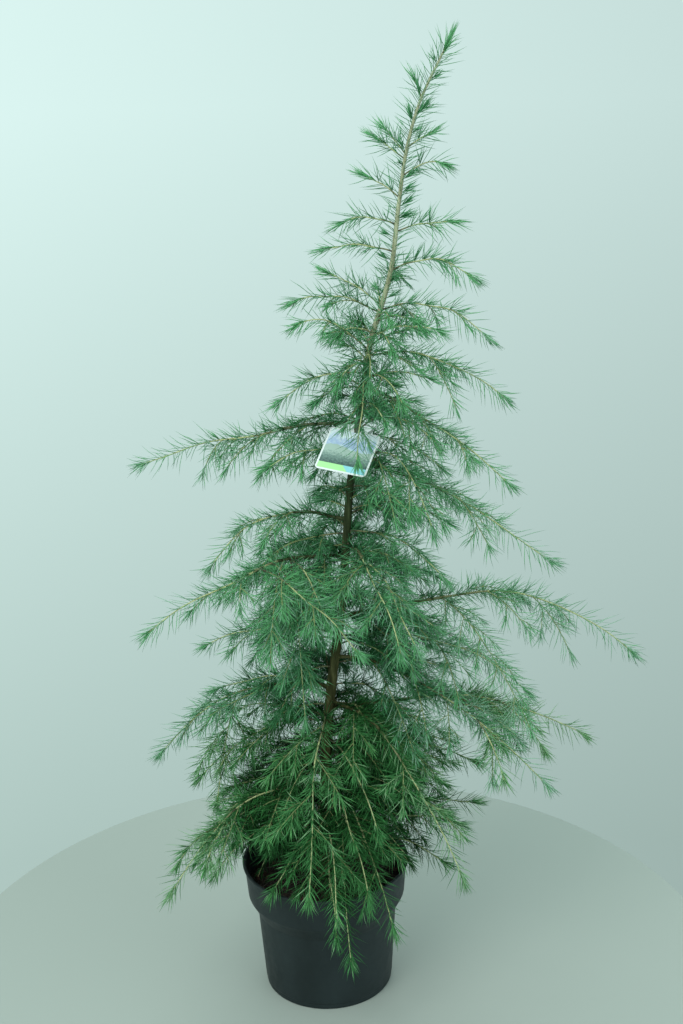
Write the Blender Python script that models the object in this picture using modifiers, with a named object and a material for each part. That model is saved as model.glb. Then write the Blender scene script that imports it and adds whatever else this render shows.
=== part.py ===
"""A young deodar cedar in a nursery pot: metres, +Z up, origin in the middle of the pot's flat underside.

Azimuths are in degrees round the trunk: 0 is +X, 90 is +Y (the back) and 270 is -Y (the front).
Every shoot leaves the trunk and follows one curve: it climbs, and its tip nods.
"""

import math
import random
from collections import namedtuple

import bmesh
import bpy
import numpy as np
from mathutils import Matrix, Vector

GAP = 0.0003                     # clearance between solids that touch
SEED = 27

# Pot and soil
POT_HEIGHT = 0.205
POT_WALL = 0.002
POT_FLOOR = 0.003
POT_SIDES = 40
RIM_RADIUS = 0.1265
RIM_LIP = 0.003                  # how deep the lip round the rim is
RIM_ROUNDING = 0.0008
COLLAR_TOP_RADIUS = 0.1235
COLLAR_FOOT_RADIUS = 0.1195
COLLAR_FOOT = 0.152              # height of the collar's lower edge
COLLAR_STEP = 0.001              # how much higher the step lies on the inside
SHOULDER_RADIUS = 0.106
SHOULDER_FOOT = 0.127
BASE_RADIUS = 0.097
BASE_CHAMFER = 0.0015
SOIL_TOP = 0.172
SOIL_CROWN_RADIUS = 0.03         # level patch round the trunk
SOIL_FALL = 0.006                # how much lower the soil lies at the wall

# Trunk: (height, sideways lean) and (height, radius)
TRUNK_TIP = 1.385
TRUNK_LEAN = (
    (SOIL_TOP, 0.000), (0.300, 0.004), (0.430, 0.011), (0.640, 0.039), (0.800, 0.054), (0.930, 0.074),
    (1.000, 0.086), (1.100, 0.116), (1.200, 0.130), (1.270, 0.142), (1.320, 0.157), (TRUNK_TIP, 0.189),
)
TRUNK_GIRTH = (
    (SOIL_TOP, 0.0135), (0.185, 0.0112), (0.210, 0.0096), (0.300, 0.0086), (0.500, 0.0073), (0.720, 0.0058),
    (0.900, 0.0047), (1.040, 0.0037), (1.140, 0.0031), (1.200, 0.0027), (1.300, 0.0020), (TRUNK_TIP, 0.0013),
)
TRUNK_RINGS = 36
TRUNK_SAMPLES = 1000             # heights at which clearances from the trunk are taken
FOOT_UPRIGHT = 0.002             # the trunk's foot stands upright for this long, so that its cut is level

# Limbs and twigs
BOUGH_ROOT_RADIUS = 0.0020
BOUGH_THICKENING = 0.0014        # what a bough's root radius gains for each metre of its reach
SHOOT_TIP_RADIUS = 0.0015
TWIG_TIP_RADIUS = 0.0012
BOUGH_SHARE = 0.30               # share of a main bough's length that is a bare limb
BOUGH_RINGS = 6
BOUGH_SIDES = 6
STEM_STEPS = 80                  # straight steps that a shoot's curve is read in
WOOD_SHORT = 0.018               # a shoot's wood stops this far short of its curve's end, or by this
WOOD_SHORT_SHARE = 0.25          # share of the curve if that is less, and needles go on from there
ROOT_STEP = 0.0001               # step of the search for the place where a shoot clears the trunk
ROOT_SEARCH = 0.06
RADIUS_PER_REACH = 0.006         # what a shoot's root radius gains for each metre of its reach
SIDE_TWIG_SPACING = 0.060
SIDE_TWIG_ANGLE = 48
SIDE_TWIG_SHARE = 0.42           # length of a side twig, as a share of the shoot beyond it
SIDE_TWIG_LEAST = 0.035
SIDE_TWIG_MOST = 0.110
SIDE_TWIG_FOOT = 0.75            # a side twig's root radius, as a share of its shoot's radius there
SIDE_TWIG_FIRST = 0.3            # how far out the first one stands, as a share of the spacing
SIDE_TWIG_REACH = 0.85           # its reach, climb and nod, as shares of its length; its climb
SIDE_TWIG_SLOPE = 0.8            # is that of its shoot there, times SIDE_TWIG_SLOPE
SIDE_TWIG_NOD = 0.45
SIDE_TWIG_STIFFNESS = 2.0
SIDE_TWIG_SHRINK = 0.8           # each step by which one that leaves its space is shortened
SIDE_TWIG_WANDER = 8             # degrees either way

# Needles
NEEDLE_LENGTH = 0.041
NEEDLE_FOOT = 0.0065             # length of a needle's foot along its twig
NEEDLE_SPACING = 0.0260          # from one whorl of three needles to the next
NEEDLE_LEAN = 48                 # angle between a needle and its twig
NEEDLE_FIRST = 0.2               # how far out the first whorl stands, as a share of the spacing
WHORL_TURN = 37                  # each whorl is turned this far from the last
NEEDLE_WANDER = 9                # degrees either way
NEEDLE_RANGE = (0.85, 1.10)      # shortest and longest, as a share of NEEDLE_LENGTH
TUFT_NEEDLE_SHARE = 0.8          # the end needle's length, as a share of the others
NEEDLE_PROBES = 10               # places along a needle that have to lie in the mass's space
SPACE_MARGIN = 0.0032            # half of the air kept between two masses
LIMB_MARGIN = 0.0030             # air kept between foliage and the trunk or a bough

# Label card
LABEL_WIDTH = 0.072
LABEL_HEIGHT = 0.080
LABEL_THICKNESS = 0.0008
LABEL_CORNER = 0.006
LABEL_TOP = Vector((0.065, -0.024, 0.887))     # middle of the card's top edge
LABEL_LEAN_BACK = 60
LABEL_ROLL = 17
STRAP_HEIGHT = 0.915             # where the strap goes round the trunk
STRAP_WIDTH = 0.006
STRAP_THICKNESS = 0.0016
LABEL_PLACE = (
    Matrix.Translation(LABEL_TOP)
    @ Matrix.Rotation(math.radians(-LABEL_LEAN_BACK), 4, "X")
    @ Matrix.Rotation(math.radians(LABEL_ROLL), 4, "Y")
)

# Shoots. climb and nod are metres: the curve ends climb - nod above the root.
Shoot = namedtuple("Shoot", "name height azimuth reach climb nod stiffness")

MAIN_BOUGHS = [
    Shoot("right_upper", 0.942, -15, 0.219, -0.038, 0.102, 1.6),
    Shoot("left_long", 0.895, 172, 0.335, -0.038, 0.038, 2.6),
    Shoot("right_mid", 0.835, -8, 0.290, -0.020, 0.131, 1.7),
    Shoot("back_mid", 0.770, 82, 0.220, 0.050, 0.120, 2.4),
    Shoot("left_mid", 0.750, 185, 0.208, 0.065, 0.142, 2.8),
    Shoot("front_left", 0.697, 215, 0.335, 0.068, 0.114, 2.2),
    Shoot("right_longest", 0.600, 3, 0.441, 0.100, 0.188, 3.2),
    Shoot("right_lower", 0.538, -22, 0.337, 0.100, 0.264, 1.6),
    Shoot("back_low", 0.500, 100, 0.220, 0.060, 0.170, 2.4),
    Shoot("left_low", 0.490, 170, 0.282, 0.050, 0.193, 2.2),
    Shoot("front_right_low", 0.468, -47, 0.280, 0.040, 0.240, 2.2),
    Shoot("right_low", 0.457, 5, 0.397, 0.040, 0.119, 2.9),
]

SIDE_SHOOTS = [
    Shoot("leader_tip", TRUNK_TIP, 0, 0.006, 0.012, 0.000, 2.2),
    Shoot("leader_tuft", 1.330, 170, 0.012, 0.030, 0.002, 2.2),
    Shoot("leader_right", 1.266, 0, 0.044, 0.030, 0.006, 2.2),
    Shoot("leader_left", 1.251, 175, 0.050, 0.042, 0.006, 2.2),
    Shoot("top_right", 1.229, 10, 0.073, 0.055, 0.051, 2.2),
    Shoot("top_left", 1.201, 180, 0.062, 0.056, 0.022, 2.2),
    Shoot("high_left", 1.165, 185, 0.090, 0.045, 0.049, 2.2),
    Shoot("high_right", 1.156, 0, 0.094, 0.034, 0.026, 2.2),
    Shoot("high_front_left", 1.129, 195, 0.113, 0.044, 0.040, 2.2),
    Shoot("high_front_right", 1.103, -10, 0.124, 0.073, 0.093, 2.2),
    Shoot("high_back", 1.080, 80, 0.110, 0.050, 0.060, 2.2),
    Shoot("upper_right", 1.050, 5, 0.160, 0.051, 0.108, 2.2),
    Shoot("upper_left", 1.047, 175, 0.133, 0.079, 0.073, 2.2),
    Shoot("upper_front", 1.010, -69, 0.090, 0.072, 0.086, 2.2),
    Shoot("upper_front_left", 0.995, 190, 0.115, 0.117, 0.088, 2.6),
    Shoot("upper_back", 1.015, 110, 0.150, 0.050, 0.090, 2.2),
    Shoot("right_high", 0.987, 0, 0.200, 0.038, 0.115, 2.1),
    Shoot("left_high", 0.963, 190, 0.135, 0.029, 0.074, 2.1),
    Shoot("back_high", 0.900, 70, 0.180, 0.040, 0.100, 2.2),
    Shoot("front_drooping", 0.847, -42, 0.150, 0.050, 0.151, 3.2),
    Shoot("left_short", 0.847, 200, 0.141, 0.056, 0.069, 2.3),
    Shoot("front_long", 0.712, -70, 0.226, 0.035, 0.132, 2.2),
    Shoot("back_right_mid", 0.691, 32, 0.172, 0.000, 0.075, 1.9),
    Shoot("back_left_mid", 0.630, 125, 0.200, 0.040, 0.120, 2.2),
    Shoot("back_left_low", 0.576, 160, 0.232, 0.026, 0.084, 2.2),
    Shoot("right_inner", 0.572, -8, 0.287, 0.032, 0.121, 2.8),
    Shoot("front_low", 0.445, -98, 0.210, 0.105, 0.313, 2.2),
    Shoot("back_left_foot", 0.340, 135, 0.220, 0.060, 0.170, 2.2),
    Shoot("front_right_foot", 0.332, -58, 0.190, 0.038, 0.215, 2.2),
    Shoot("left_foot", 0.318, 210, 0.270, 0.152, 0.261, 2.2),
    Shoot("back_right_foot", 0.310, 48, 0.220, 0.050, 0.130, 2.2),
    Shoot("front_foot", 0.291, -78, 0.180, 0.113, 0.289, 2.2),
]


# Curves in space

def smooth_through(rows, at):
    """Value of a smooth curve through (position, value) rows, at the given positions."""
    x, y = np.array(rows).T
    slope = np.gradient(y, x)
    i = np.clip(np.searchsorted(x, at) - 1, 0, len(x) - 2)
    h = x[i + 1] - x[i]
    t = (at - x[i]) / h
    rise = (2 * t ** 3 - 3 * t ** 2 + 1) * y[i] + (3 * t ** 2 - 2 * t ** 3) * y[i + 1]
    return rise + (t ** 3 - 2 * t ** 2 + t) * h * slope[i] + (t ** 3 - t ** 2) * h * slope[i + 1]


def trunk_axis(height):
    height = np.asarray(height, float)
    return np.stack([smooth_through(TRUNK_LEAN, height), np.zeros_like(height), height], -1)


def trunk_radius(height):
    heights, radii = np.array(TRUNK_GIRTH).T
    return np.interp(height, heights, radii)


def trunk_rings():
    """Heights of the rings that the trunk's surface runs straight between."""
    return np.linspace(SOIL_TOP + GAP + FOOT_UPRIGHT, TRUNK_TIP, TRUNK_RINGS)


def trunk_samples():
    """Points up the middle of the trunk, and its radius at each."""
    rings = trunk_rings()
    heights = np.linspace(SOIL_TOP, TRUNK_TIP, TRUNK_SAMPLES)
    axis = np.array([np.interp(heights, rings, column) for column in trunk_axis(rings).T]).T
    axis[:, 2] = heights
    return axis, np.interp(heights, rings, trunk_radius(rings))


class Stem:
    """The centre line of a shoot or twig, measured by arc length from its root."""

    def __init__(self, start, azimuth, reach, climb, nod, stiffness):
        turn = math.radians(azimuth)
        share = np.linspace(0, 1, STEM_STEPS + 1)
        out = np.array([math.cos(turn), math.sin(turn), 0.0])
        rise = climb * share - nod * share ** stiffness
        self.points = start + share[:, None] * reach * out + rise[:, None] * np.array([0, 0, 1.0])
        self.side = np.array([-math.sin(turn), math.cos(turn), 0.0])
        steps = np.linalg.norm(np.diff(self.points, axis=0), axis=1)
        self.arc = np.concatenate([[0], np.cumsum(steps)])
        self.length = self.arc[-1]

    def at(self, arc):
        return np.array([np.interp(arc, self.arc, column) for column in self.points.T])

    def heading(self, arc):
        step = self.length / STEM_STEPS
        ahead = self.at(min(arc + step, self.length)) - self.at(max(arc - step, 0))
        return ahead / np.linalg.norm(ahead)

    def across(self, arc, angle):
        """Unit vector square to the stem, turned by an angle in degrees round it."""
        over = np.cross(self.heading(arc), self.side)
        turn = math.radians(angle)
        return math.cos(turn) * self.side + math.sin(turn) * over


def strap_front():
    """Where the label's strap meets its loop, in front of the trunk."""
    axis = trunk_axis(STRAP_HEIGHT)
    return Vector(axis) - Vector((0, trunk_radius(STRAP_HEIGHT) + GAP + 0.5 * STRAP_THICKNESS, 0))


def stem_of(shoot):
    stem = Stem(trunk_axis(shoot.height), *shoot[2:])
    stem.length -= min(WOOD_SHORT, WOOD_SHORT_SHARE * stem.length)
    return stem


def root_radius(shoot):
    return SHOOT_TIP_RADIUS + RADIUS_PER_REACH * shoot.reach


def clear_of_trunk(stem, radius, sides):
    """Arc length at which the root end of a limb with that many sides first stands GAP off the trunk."""
    axis, girth = trunk_samples()
    for arc in np.arange(0.0, ROOT_SEARCH, ROOT_STEP):
        corners = [stem.across(arc, 360 * corner / sides) for corner in range(sides)]
        end = stem.at(arc) + radius * np.array(corners + [np.zeros(3)])
        away = np.linalg.norm(axis[None] - end[:, None], axis=2) - girth
        if away.min() >= GAP:
            return arc
    return ROOT_SEARCH


# Solids

def add_object(name, mesh, finish):
    thing = bpy.data.objects.new(name, mesh)
    thing.data.materials.append(finish)
    TREE.objects.link(thing)
    return thing


def material(name, colour, roughness):
    made = bpy.data.materials.new(name)
    made.use_nodes = True
    shader = made.node_tree.nodes["Principled BSDF"]
    shader.inputs["Base Color"].default_value = (*colour, 1)
    shader.inputs["Roughness"].default_value = roughness
    return made


def add_limb(name, points, radii, bark, resolution):
    """A round tapering limb: a curve with a bevel, as thick at each point as its radius there."""
    curve = bpy.data.curves.new(name, "CURVE")
    curve.dimensions = "3D"
    curve.bevel_depth = 1.0
    curve.bevel_resolution = resolution
    curve.use_fill_caps = True
    spline = curve.splines.new("POLY")
    spline.points.add(len(points) - 1)
    for point, place, radius in zip(spline.points, points, radii):
        point.co = (*place, 1)
        point.radius = radius
    spline.use_smooth = True
    return add_object(name, curve, bark)


def add_turned(name, profile, finish):
    """A solid turned round the Z axis from a profile that runs down its outer side."""
    mesh = bpy.data.meshes.new(name)
    edges = [(i, i + 1) for i in range(len(profile) - 1)]
    mesh.from_pydata([(radius, 0, height) for radius, height in profile], edges, [])
    thing = add_object(name, mesh, finish)
    screw = thing.modifiers.new("Screw", "SCREW")
    screw.steps = screw.render_steps = POT_SIDES
    screw.use_merge_vertices = True
    screw.merge_threshold = 0.0001
    screw.use_smooth_shade = True
    return thing


def twig_mesh(stem, start, thick, thin, chance, in_space):
    """A slim three-sided core with whorls of needles drawn out of its sides.

    A needle is a side of the core, poked and pulled out to a point. It is left out where in_space
    says that it would leave the mass's own space.
    """
    bm = bmesh.new()

    def ring(arc, turn):
        radius = np.interp(arc, [start, stem.length], [thick, thin])
        corners = [stem.across(arc, turn + corner) for corner in (0, 120, 240)]
        return [bm.verts.new(stem.at(arc) + radius * corner) for corner in corners]

    def loft(lower, upper):
        return [bm.faces.new((lower[i - 1], lower[i], upper[i], upper[i - 1])) for i in range(3)]

    last = ring(start, 0)
    bm.faces.new(last)
    turn = 0
    whorls = []
    for arc in np.arange(start + NEEDLE_FIRST * NEEDLE_SPACING, stem.length - NEEDLE_FOOT, NEEDLE_SPACING):
        foot, head = ring(arc, turn), ring(arc + NEEDLE_FOOT, turn)
        loft(last, foot)
        whorls.append((arc + 0.5 * NEEDLE_FOOT, loft(foot, head)))
        last = head
        turn += WHORL_TURN
    end = ring(stem.length, turn)
    loft(last, end)
    tuft = bm.faces.new(end)

    for arc, sides in whorls:
        forward = stem.heading(arc)
        for side in sides:
            middle = np.array(side.calc_center_median())
            outward = middle - stem.at(arc)
            outward /= np.linalg.norm(outward)
            lean = math.radians(NEEDLE_LEAN + chance.uniform(-NEEDLE_WANDER, NEEDLE_WANDER))
            reach = NEEDLE_LENGTH * chance.uniform(*NEEDLE_RANGE)
            tip = middle + reach * (math.cos(lean) * forward + math.sin(lean) * outward)
            if in_space(np.linspace(middle, tip, NEEDLE_PROBES + 1)[1:]):
                point = bmesh.ops.poke(bm, faces=[side])["verts"][0]
                point.co = tip
    tip = stem.at(stem.length) + TUFT_NEEDLE_SHARE * NEEDLE_LENGTH * stem.heading(stem.length)
    if in_space(np.linspace(stem.at(stem.length), tip, NEEDLE_PROBES + 1)[1:]):
        point = bmesh.ops.poke(bm, faces=[tuft])["verts"][0]
        point.co = tip
    bmesh.ops.recalc_face_normals(bm, faces=bm.faces)
    mesh = bpy.data.meshes.new("twig")
    bm.to_mesh(mesh)
    bm.free()
    return mesh


class Space:
    """The room of each mass: the points that lie nearer to its own shoot than to any other limb."""

    def __init__(self, shoots):
        self.names = [shoot.name for shoot in shoots]
        self.lines = [stem_of(shoot).points for shoot in shoots]
        self.trunk, self.girth = trunk_samples()
        self.into_card = np.array(LABEL_PLACE.inverted())
        self.strap = np.linspace(LABEL_TOP, strap_front(), 8)

    def at_label(self, points):
        """Where points lie within the foliage's clearance of the card or its strap."""
        x, y, z = (points @ self.into_card[:3, :3].T + self.into_card[:3, 3]).T
        card = (
            (abs(x) < 0.5 * LABEL_WIDTH + LIMB_MARGIN)
            & (abs(y) < 0.5 * LABEL_THICKNESS + LIMB_MARGIN)
            & (abs(z + 0.5 * LABEL_HEIGHT) < 0.5 * LABEL_HEIGHT + LIMB_MARGIN)
        )
        strap = np.linalg.norm(self.strap[None] - points[:, None], axis=2).min(axis=1)
        return card | (strap < STRAP_WIDTH + LIMB_MARGIN)

    def holds(self, name, points):
        """True where all the points lie in that mass's room, clear of the trunk, the pot and the soil."""
        points = np.atleast_2d(points)
        own = self.names.index(name)
        near = np.array([
            np.linalg.norm(line[None] - points[:, None], axis=2).min(axis=1) for line in self.lines
        ])
        others = np.delete(near, own, axis=0).min(axis=0)
        bark = (np.linalg.norm(self.trunk[None] - points[:, None], axis=2) - self.girth).min(axis=1)
        across = np.linalg.norm(points[:, :2], axis=1)
        in_pot = (points[:, 2] < POT_HEIGHT + LIMB_MARGIN) & (across < RIM_RADIUS + LIMB_MARGIN)
        return bool(
            (near[own] + 2 * SPACE_MARGIN < others).all()
            and (bark > LIMB_MARGIN).all()
            and not in_pot.any()
            and not self.at_label(points).any()
        )


def side_twigs(shoot, stem, start, in_space, chance):
    """Places along a shoot and the twigs that stand there, left and right in turn.

    They are shorter towards its tip, and one that would leave the mass's space is shortened till it fits.
    """
    found = []
    hand = chance.choice((-1, 1))
    first = start + SIDE_TWIG_FIRST * SIDE_TWIG_SPACING
    for arc in np.arange(first, stem.length - SIDE_TWIG_SPACING, SIDE_TWIG_SPACING):
        hand = -hand
        length = min(SIDE_TWIG_SHARE * (stem.length - arc), SIDE_TWIG_MOST)
        wander = chance.uniform(-SIDE_TWIG_WANDER, SIDE_TWIG_WANDER)
        azimuth = shoot.azimuth + hand * (SIDE_TWIG_ANGLE + wander)
        slope = SIDE_TWIG_SLOPE * stem.heading(arc)[2]
        while length > SIDE_TWIG_LEAST:
            reach, climb, nod = SIDE_TWIG_REACH * length, slope * length, SIDE_TWIG_NOD * length
            twig = Stem(stem.at(arc), azimuth, reach, climb, nod, SIDE_TWIG_STIFFNESS)
            if in_space(twig.points[STEM_STEPS // 4:]):
                found.append((arc, twig))
                break
            length *= SIDE_TWIG_SHRINK
    return found


def add_mass(shoot, start, thick, space, green, chance):
    """One mass of foliage: the shoot's stem and its side twigs, with their needles, as one solid."""

    def in_space(points):
        return space.holds(shoot.name, points)

    stem = stem_of(shoot)
    mesh = twig_mesh(stem, start, thick, SHOOT_TIP_RADIUS, chance, in_space)
    mass = add_object("foliage_" + shoot.name, mesh, green)
    twigs = side_twigs(shoot, stem, start, in_space, chance)
    for arc, twig in twigs:
        foot = SIDE_TWIG_FOOT * np.interp(arc, [start, stem.length], [thick, SHOOT_TIP_RADIUS])
        mesh = twig_mesh(twig, 0.0, foot, TWIG_TIP_RADIUS, chance, in_space)
        TWIGS.objects.link(bpy.data.objects.new("twig", mesh))
    if twigs:
        join_twigs(mass)


def add_bough(shoot, bark):
    """The bare limb of a main bough. It returns the arc length and the radius at its outer end."""
    stem = stem_of(shoot)
    root = BOUGH_ROOT_RADIUS + BOUGH_THICKENING * shoot.reach
    start = clear_of_trunk(stem, root, BOUGH_SIDES)
    end = BOUGH_SHARE * stem.length
    arcs = np.linspace(start, end, BOUGH_RINGS)
    radii = np.interp(arcs, [start, stem.length], [root, SHOOT_TIP_RADIUS])
    add_limb("bough_" + shoot.name, [stem.at(arc) for arc in arcs], radii, bark, 1)
    return end, radii[-1]


def add_trunk(bark):
    heights = np.concatenate([[SOIL_TOP + GAP], trunk_rings()])
    points = trunk_axis(heights)
    points[0, :2] = points[1, :2]
    add_limb("trunk", points, trunk_radius(heights), bark, 4)


def add_pot(plastic):
    outside = [
        (RIM_RADIUS - RIM_ROUNDING, POT_HEIGHT),
        (RIM_RADIUS, POT_HEIGHT - RIM_ROUNDING),
        (RIM_RADIUS, POT_HEIGHT - RIM_LIP),
        (COLLAR_TOP_RADIUS, POT_HEIGHT - RIM_LIP),
        (COLLAR_FOOT_RADIUS, COLLAR_FOOT),
        (SHOULDER_RADIUS, SHOULDER_FOOT),
        (BASE_RADIUS, BASE_CHAMFER),
        (BASE_RADIUS - BASE_CHAMFER, 0.0),
        (0.0, 0.0),
    ]
    add_turned("pot", [(0.0, POT_FLOOR)] + pot_inside(0.0)[::-1] + outside, plastic)


def pot_inside(gap):
    """Profile of the pot's inner wall, top to bottom, or of a filling that stands that far off it."""
    wall = POT_WALL + gap
    return [
        (COLLAR_TOP_RADIUS - wall, POT_HEIGHT),
        (COLLAR_FOOT_RADIUS - wall, COLLAR_FOOT + COLLAR_STEP),
        (SHOULDER_RADIUS - wall, SHOULDER_FOOT),
        (BASE_RADIUS - wall, POT_FLOOR + gap),
    ]


def add_soil(earth):
    brim, *below = pot_inside(GAP)
    edge = np.interp(SOIL_TOP - SOIL_FALL, [below[0][1], brim[1]], [below[0][0], brim[0]])
    top = [(0.0, SOIL_TOP), (SOIL_CROWN_RADIUS, SOIL_TOP), (edge, SOIL_TOP - SOIL_FALL)]
    add_turned("soil", top + below + [(0.0, POT_FLOOR + GAP)], earth)


def join_twigs(thing):
    """Unites the object with all that lies in the collection of twigs, and clears that collection."""
    join = thing.modifiers.new("Join", "BOOLEAN")
    join.operation = "UNION"
    join.operand_type = "COLLECTION"
    join.collection = TWIGS
    join.solver = "EXACT"
    graph = bpy.context.evaluated_depsgraph_get()
    thing.data = bpy.data.meshes.new_from_object(thing.evaluated_get(graph))
    thing.modifiers.clear()
    for twig in list(TWIGS.objects):
        bpy.data.objects.remove(twig)


def plate_mesh(name, width, thickness, height, place, corner=0.0):
    """A plate hung by the middle of its top edge, with round corners where it has a corner radius."""
    bm = bmesh.new()
    bmesh.ops.create_cube(bm, size=1.0)
    bmesh.ops.scale(bm, vec=(width, thickness, height), verts=bm.verts)
    bmesh.ops.translate(bm, vec=(0, 0, -0.5 * height), verts=bm.verts)
    if corner:
        short = [edge for edge in bm.edges if edge.calc_length() < 1.5 * thickness]
        bmesh.ops.bevel(bm, geom=short, offset=corner, segments=3, profile=0.5, affect="EDGES")
    bmesh.ops.transform(bm, matrix=place, verts=bm.verts)
    mesh = bpy.data.meshes.new(name)
    bm.to_mesh(mesh)
    bm.free()
    return mesh


def add_label(card):
    """A card on a strap, whose loop goes round the trunk."""
    plate = plate_mesh("label", LABEL_WIDTH, LABEL_THICKNESS, LABEL_HEIGHT, LABEL_PLACE, LABEL_CORNER)
    label = add_object("label", plate, card)
    rise = strap_front() - LABEL_TOP
    turned = rise.to_track_quat("Z", "X").to_matrix().to_4x4()
    hang = Matrix.Translation(strap_front()) @ turned @ Matrix.Rotation(math.radians(90), 4, "Z")
    strip = plate_mesh("strap", STRAP_WIDTH, STRAP_THICKNESS, rise.length + 0.4 * STRAP_WIDTH, hang)
    TWIGS.objects.link(bpy.data.objects.new("strap", strip))
    bpy.ops.mesh.primitive_torus_add(
        location=trunk_axis(STRAP_HEIGHT),
        major_radius=trunk_radius(STRAP_HEIGHT) + GAP + STRAP_THICKNESS,
        minor_radius=STRAP_THICKNESS, major_segments=16, minor_segments=6,
    )
    loop = bpy.context.object
    for collection in loop.users_collection:
        collection.objects.unlink(loop)
    TWIGS.objects.link(loop)
    join_twigs(label)


def build():
    chance = random.Random(SEED)
    space = Space(MAIN_BOUGHS + SIDE_SHOOTS)
    bark = material("cedar bark", (0.16, 0.10, 0.055), 0.85)
    wood = material("young bough", (0.30, 0.22, 0.11), 0.75)
    green = material("cedar needles", (0.05, 0.20, 0.07), 0.55)
    add_pot(material("pot plastic", (0.022, 0.032, 0.036), 0.45))
    add_soil(material("potting soil", (0.018, 0.013, 0.010), 0.95))
    add_trunk(bark)
    for shoot in MAIN_BOUGHS:
        start, thick = add_bough(shoot, wood)
        add_mass(shoot, start + GAP, thick, space, green, chance)
    for shoot in SIDE_SHOOTS:
        thick = root_radius(shoot)
        start = GAP if shoot.height == TRUNK_TIP else clear_of_trunk(stem_of(shoot), thick, 3)
        add_mass(shoot, start, thick, space, green, chance)
    add_label(material("label card", (0.55, 0.68, 0.72), 0.35))


for thing in list(bpy.data.objects):
    bpy.data.objects.remove(thing)
TREE = bpy.data.collections.new("deodar cedar")
TWIGS = bpy.data.collections.new("twigs to join")
TWIGS.hide_render = True
for collection in (TREE, TWIGS):
    bpy.context.scene.collection.children.link(collection)
build()
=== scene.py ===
# A young deodar cedar in a nursery pot, dressed for rendering.
# Metres, +Z up, origin in the middle of the pot's flat underside.
# Azimuths are degrees round the trunk: 0 is +X, 90 is the back and 270 the front.

import itertools
import math
import random
from collections import namedtuple

import bmesh
import bpy
import numpy as np
from mathutils import Matrix, Vector, noise


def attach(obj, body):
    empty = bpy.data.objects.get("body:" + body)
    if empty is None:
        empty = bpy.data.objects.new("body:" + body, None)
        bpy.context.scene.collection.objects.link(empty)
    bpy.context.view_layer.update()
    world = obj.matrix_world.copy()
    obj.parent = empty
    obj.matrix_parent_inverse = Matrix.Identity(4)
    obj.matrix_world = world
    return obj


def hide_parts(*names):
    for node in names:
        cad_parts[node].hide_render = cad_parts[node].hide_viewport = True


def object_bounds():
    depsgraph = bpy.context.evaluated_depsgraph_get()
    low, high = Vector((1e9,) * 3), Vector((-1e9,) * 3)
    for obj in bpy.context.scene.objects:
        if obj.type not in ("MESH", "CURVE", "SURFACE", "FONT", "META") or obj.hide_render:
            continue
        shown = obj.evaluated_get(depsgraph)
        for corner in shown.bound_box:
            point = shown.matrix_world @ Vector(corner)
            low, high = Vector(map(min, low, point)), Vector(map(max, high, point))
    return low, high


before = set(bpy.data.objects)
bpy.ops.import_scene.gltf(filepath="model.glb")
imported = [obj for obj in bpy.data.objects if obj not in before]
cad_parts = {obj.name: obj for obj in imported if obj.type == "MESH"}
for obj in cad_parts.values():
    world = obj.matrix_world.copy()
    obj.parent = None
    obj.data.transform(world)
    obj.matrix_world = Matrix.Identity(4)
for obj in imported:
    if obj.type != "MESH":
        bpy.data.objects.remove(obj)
bpy.context.scene.view_settings.view_transform = "Standard"
cadLow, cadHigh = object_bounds()
print("frame loaded:", len(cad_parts), "nodes")

stage = {
    "cameraPlace": (0.09875, -2.16506, 1.49919),
    "pitchDown": 18.804,
    "roll": -1.721,
    "turn": 1.54,
    "nearest": 0.02,
    "focalPixels": 1614.0,
    "pictureHeight": 1024.0,
    "floorRadius": 0.62,
    "floorSides": 96,
    "floorColour": (0.335, 0.380, 0.350),
    "airColour": (0.62, 0.80, 0.77),
    "airBelow": (0.60, 0.62, 0.60),  # what is left of it under the tree
    "airHeights": (-0.50, -0.08),
    "airSides": (-0.25, 0.25),
    "airStrength": (1.16, 0.88),  # left and right of the tree
    "lightsAim": (0, 0, 0.65),
    "lights": (  # name, place, size, watts, colour
        ("key light", (-1.3, -2.2, 3.2), 1.8, 70, (1.0, 0.99, 0.96)),
        ("fill light", (2.2, -1.6, 2.0), 2.0, 22, (0.94, 0.98, 1.0)),
        ("back light", (0.4, 2.4, 2.6), 2.0, 26, (0.95, 1.0, 1.0)),
    ),
}


def turnBy(degrees, axis):
    return Matrix.Rotation(math.radians(degrees), 4, axis)


def addThing(name, data):
    thing = bpy.data.objects.new(name, data)
    bpy.context.scene.collection.objects.link(thing)
    return thing


def addCamera():
    lens = bpy.data.cameras.new("front camera")
    lens.lens = stage["focalPixels"] / stage["pictureHeight"] * lens.sensor_width
    lens.clip_start = stage["nearest"]
    camera = addThing("front camera", lens)
    camera.matrix_world = (
        Matrix.Translation(stage["cameraPlace"]) @ turnBy(stage["turn"], "Z")
        @ turnBy(90 - stage["pitchDown"], "X") @ turnBy(stage["roll"], "Z")
    )
    bpy.context.scene.camera = camera


def addLights():
    for name, place, size, watts, colour in stage["lights"]:
        lamp = bpy.data.lights.new(name, "AREA")
        lamp.size, lamp.energy, lamp.color = size, watts, colour
        light = addThing(name, lamp)
        light.location = place
        aim = Vector(stage["lightsAim"]) - Vector(place)
        light.rotation_euler = aim.to_track_quat("-Z", "Y").to_euler()


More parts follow.
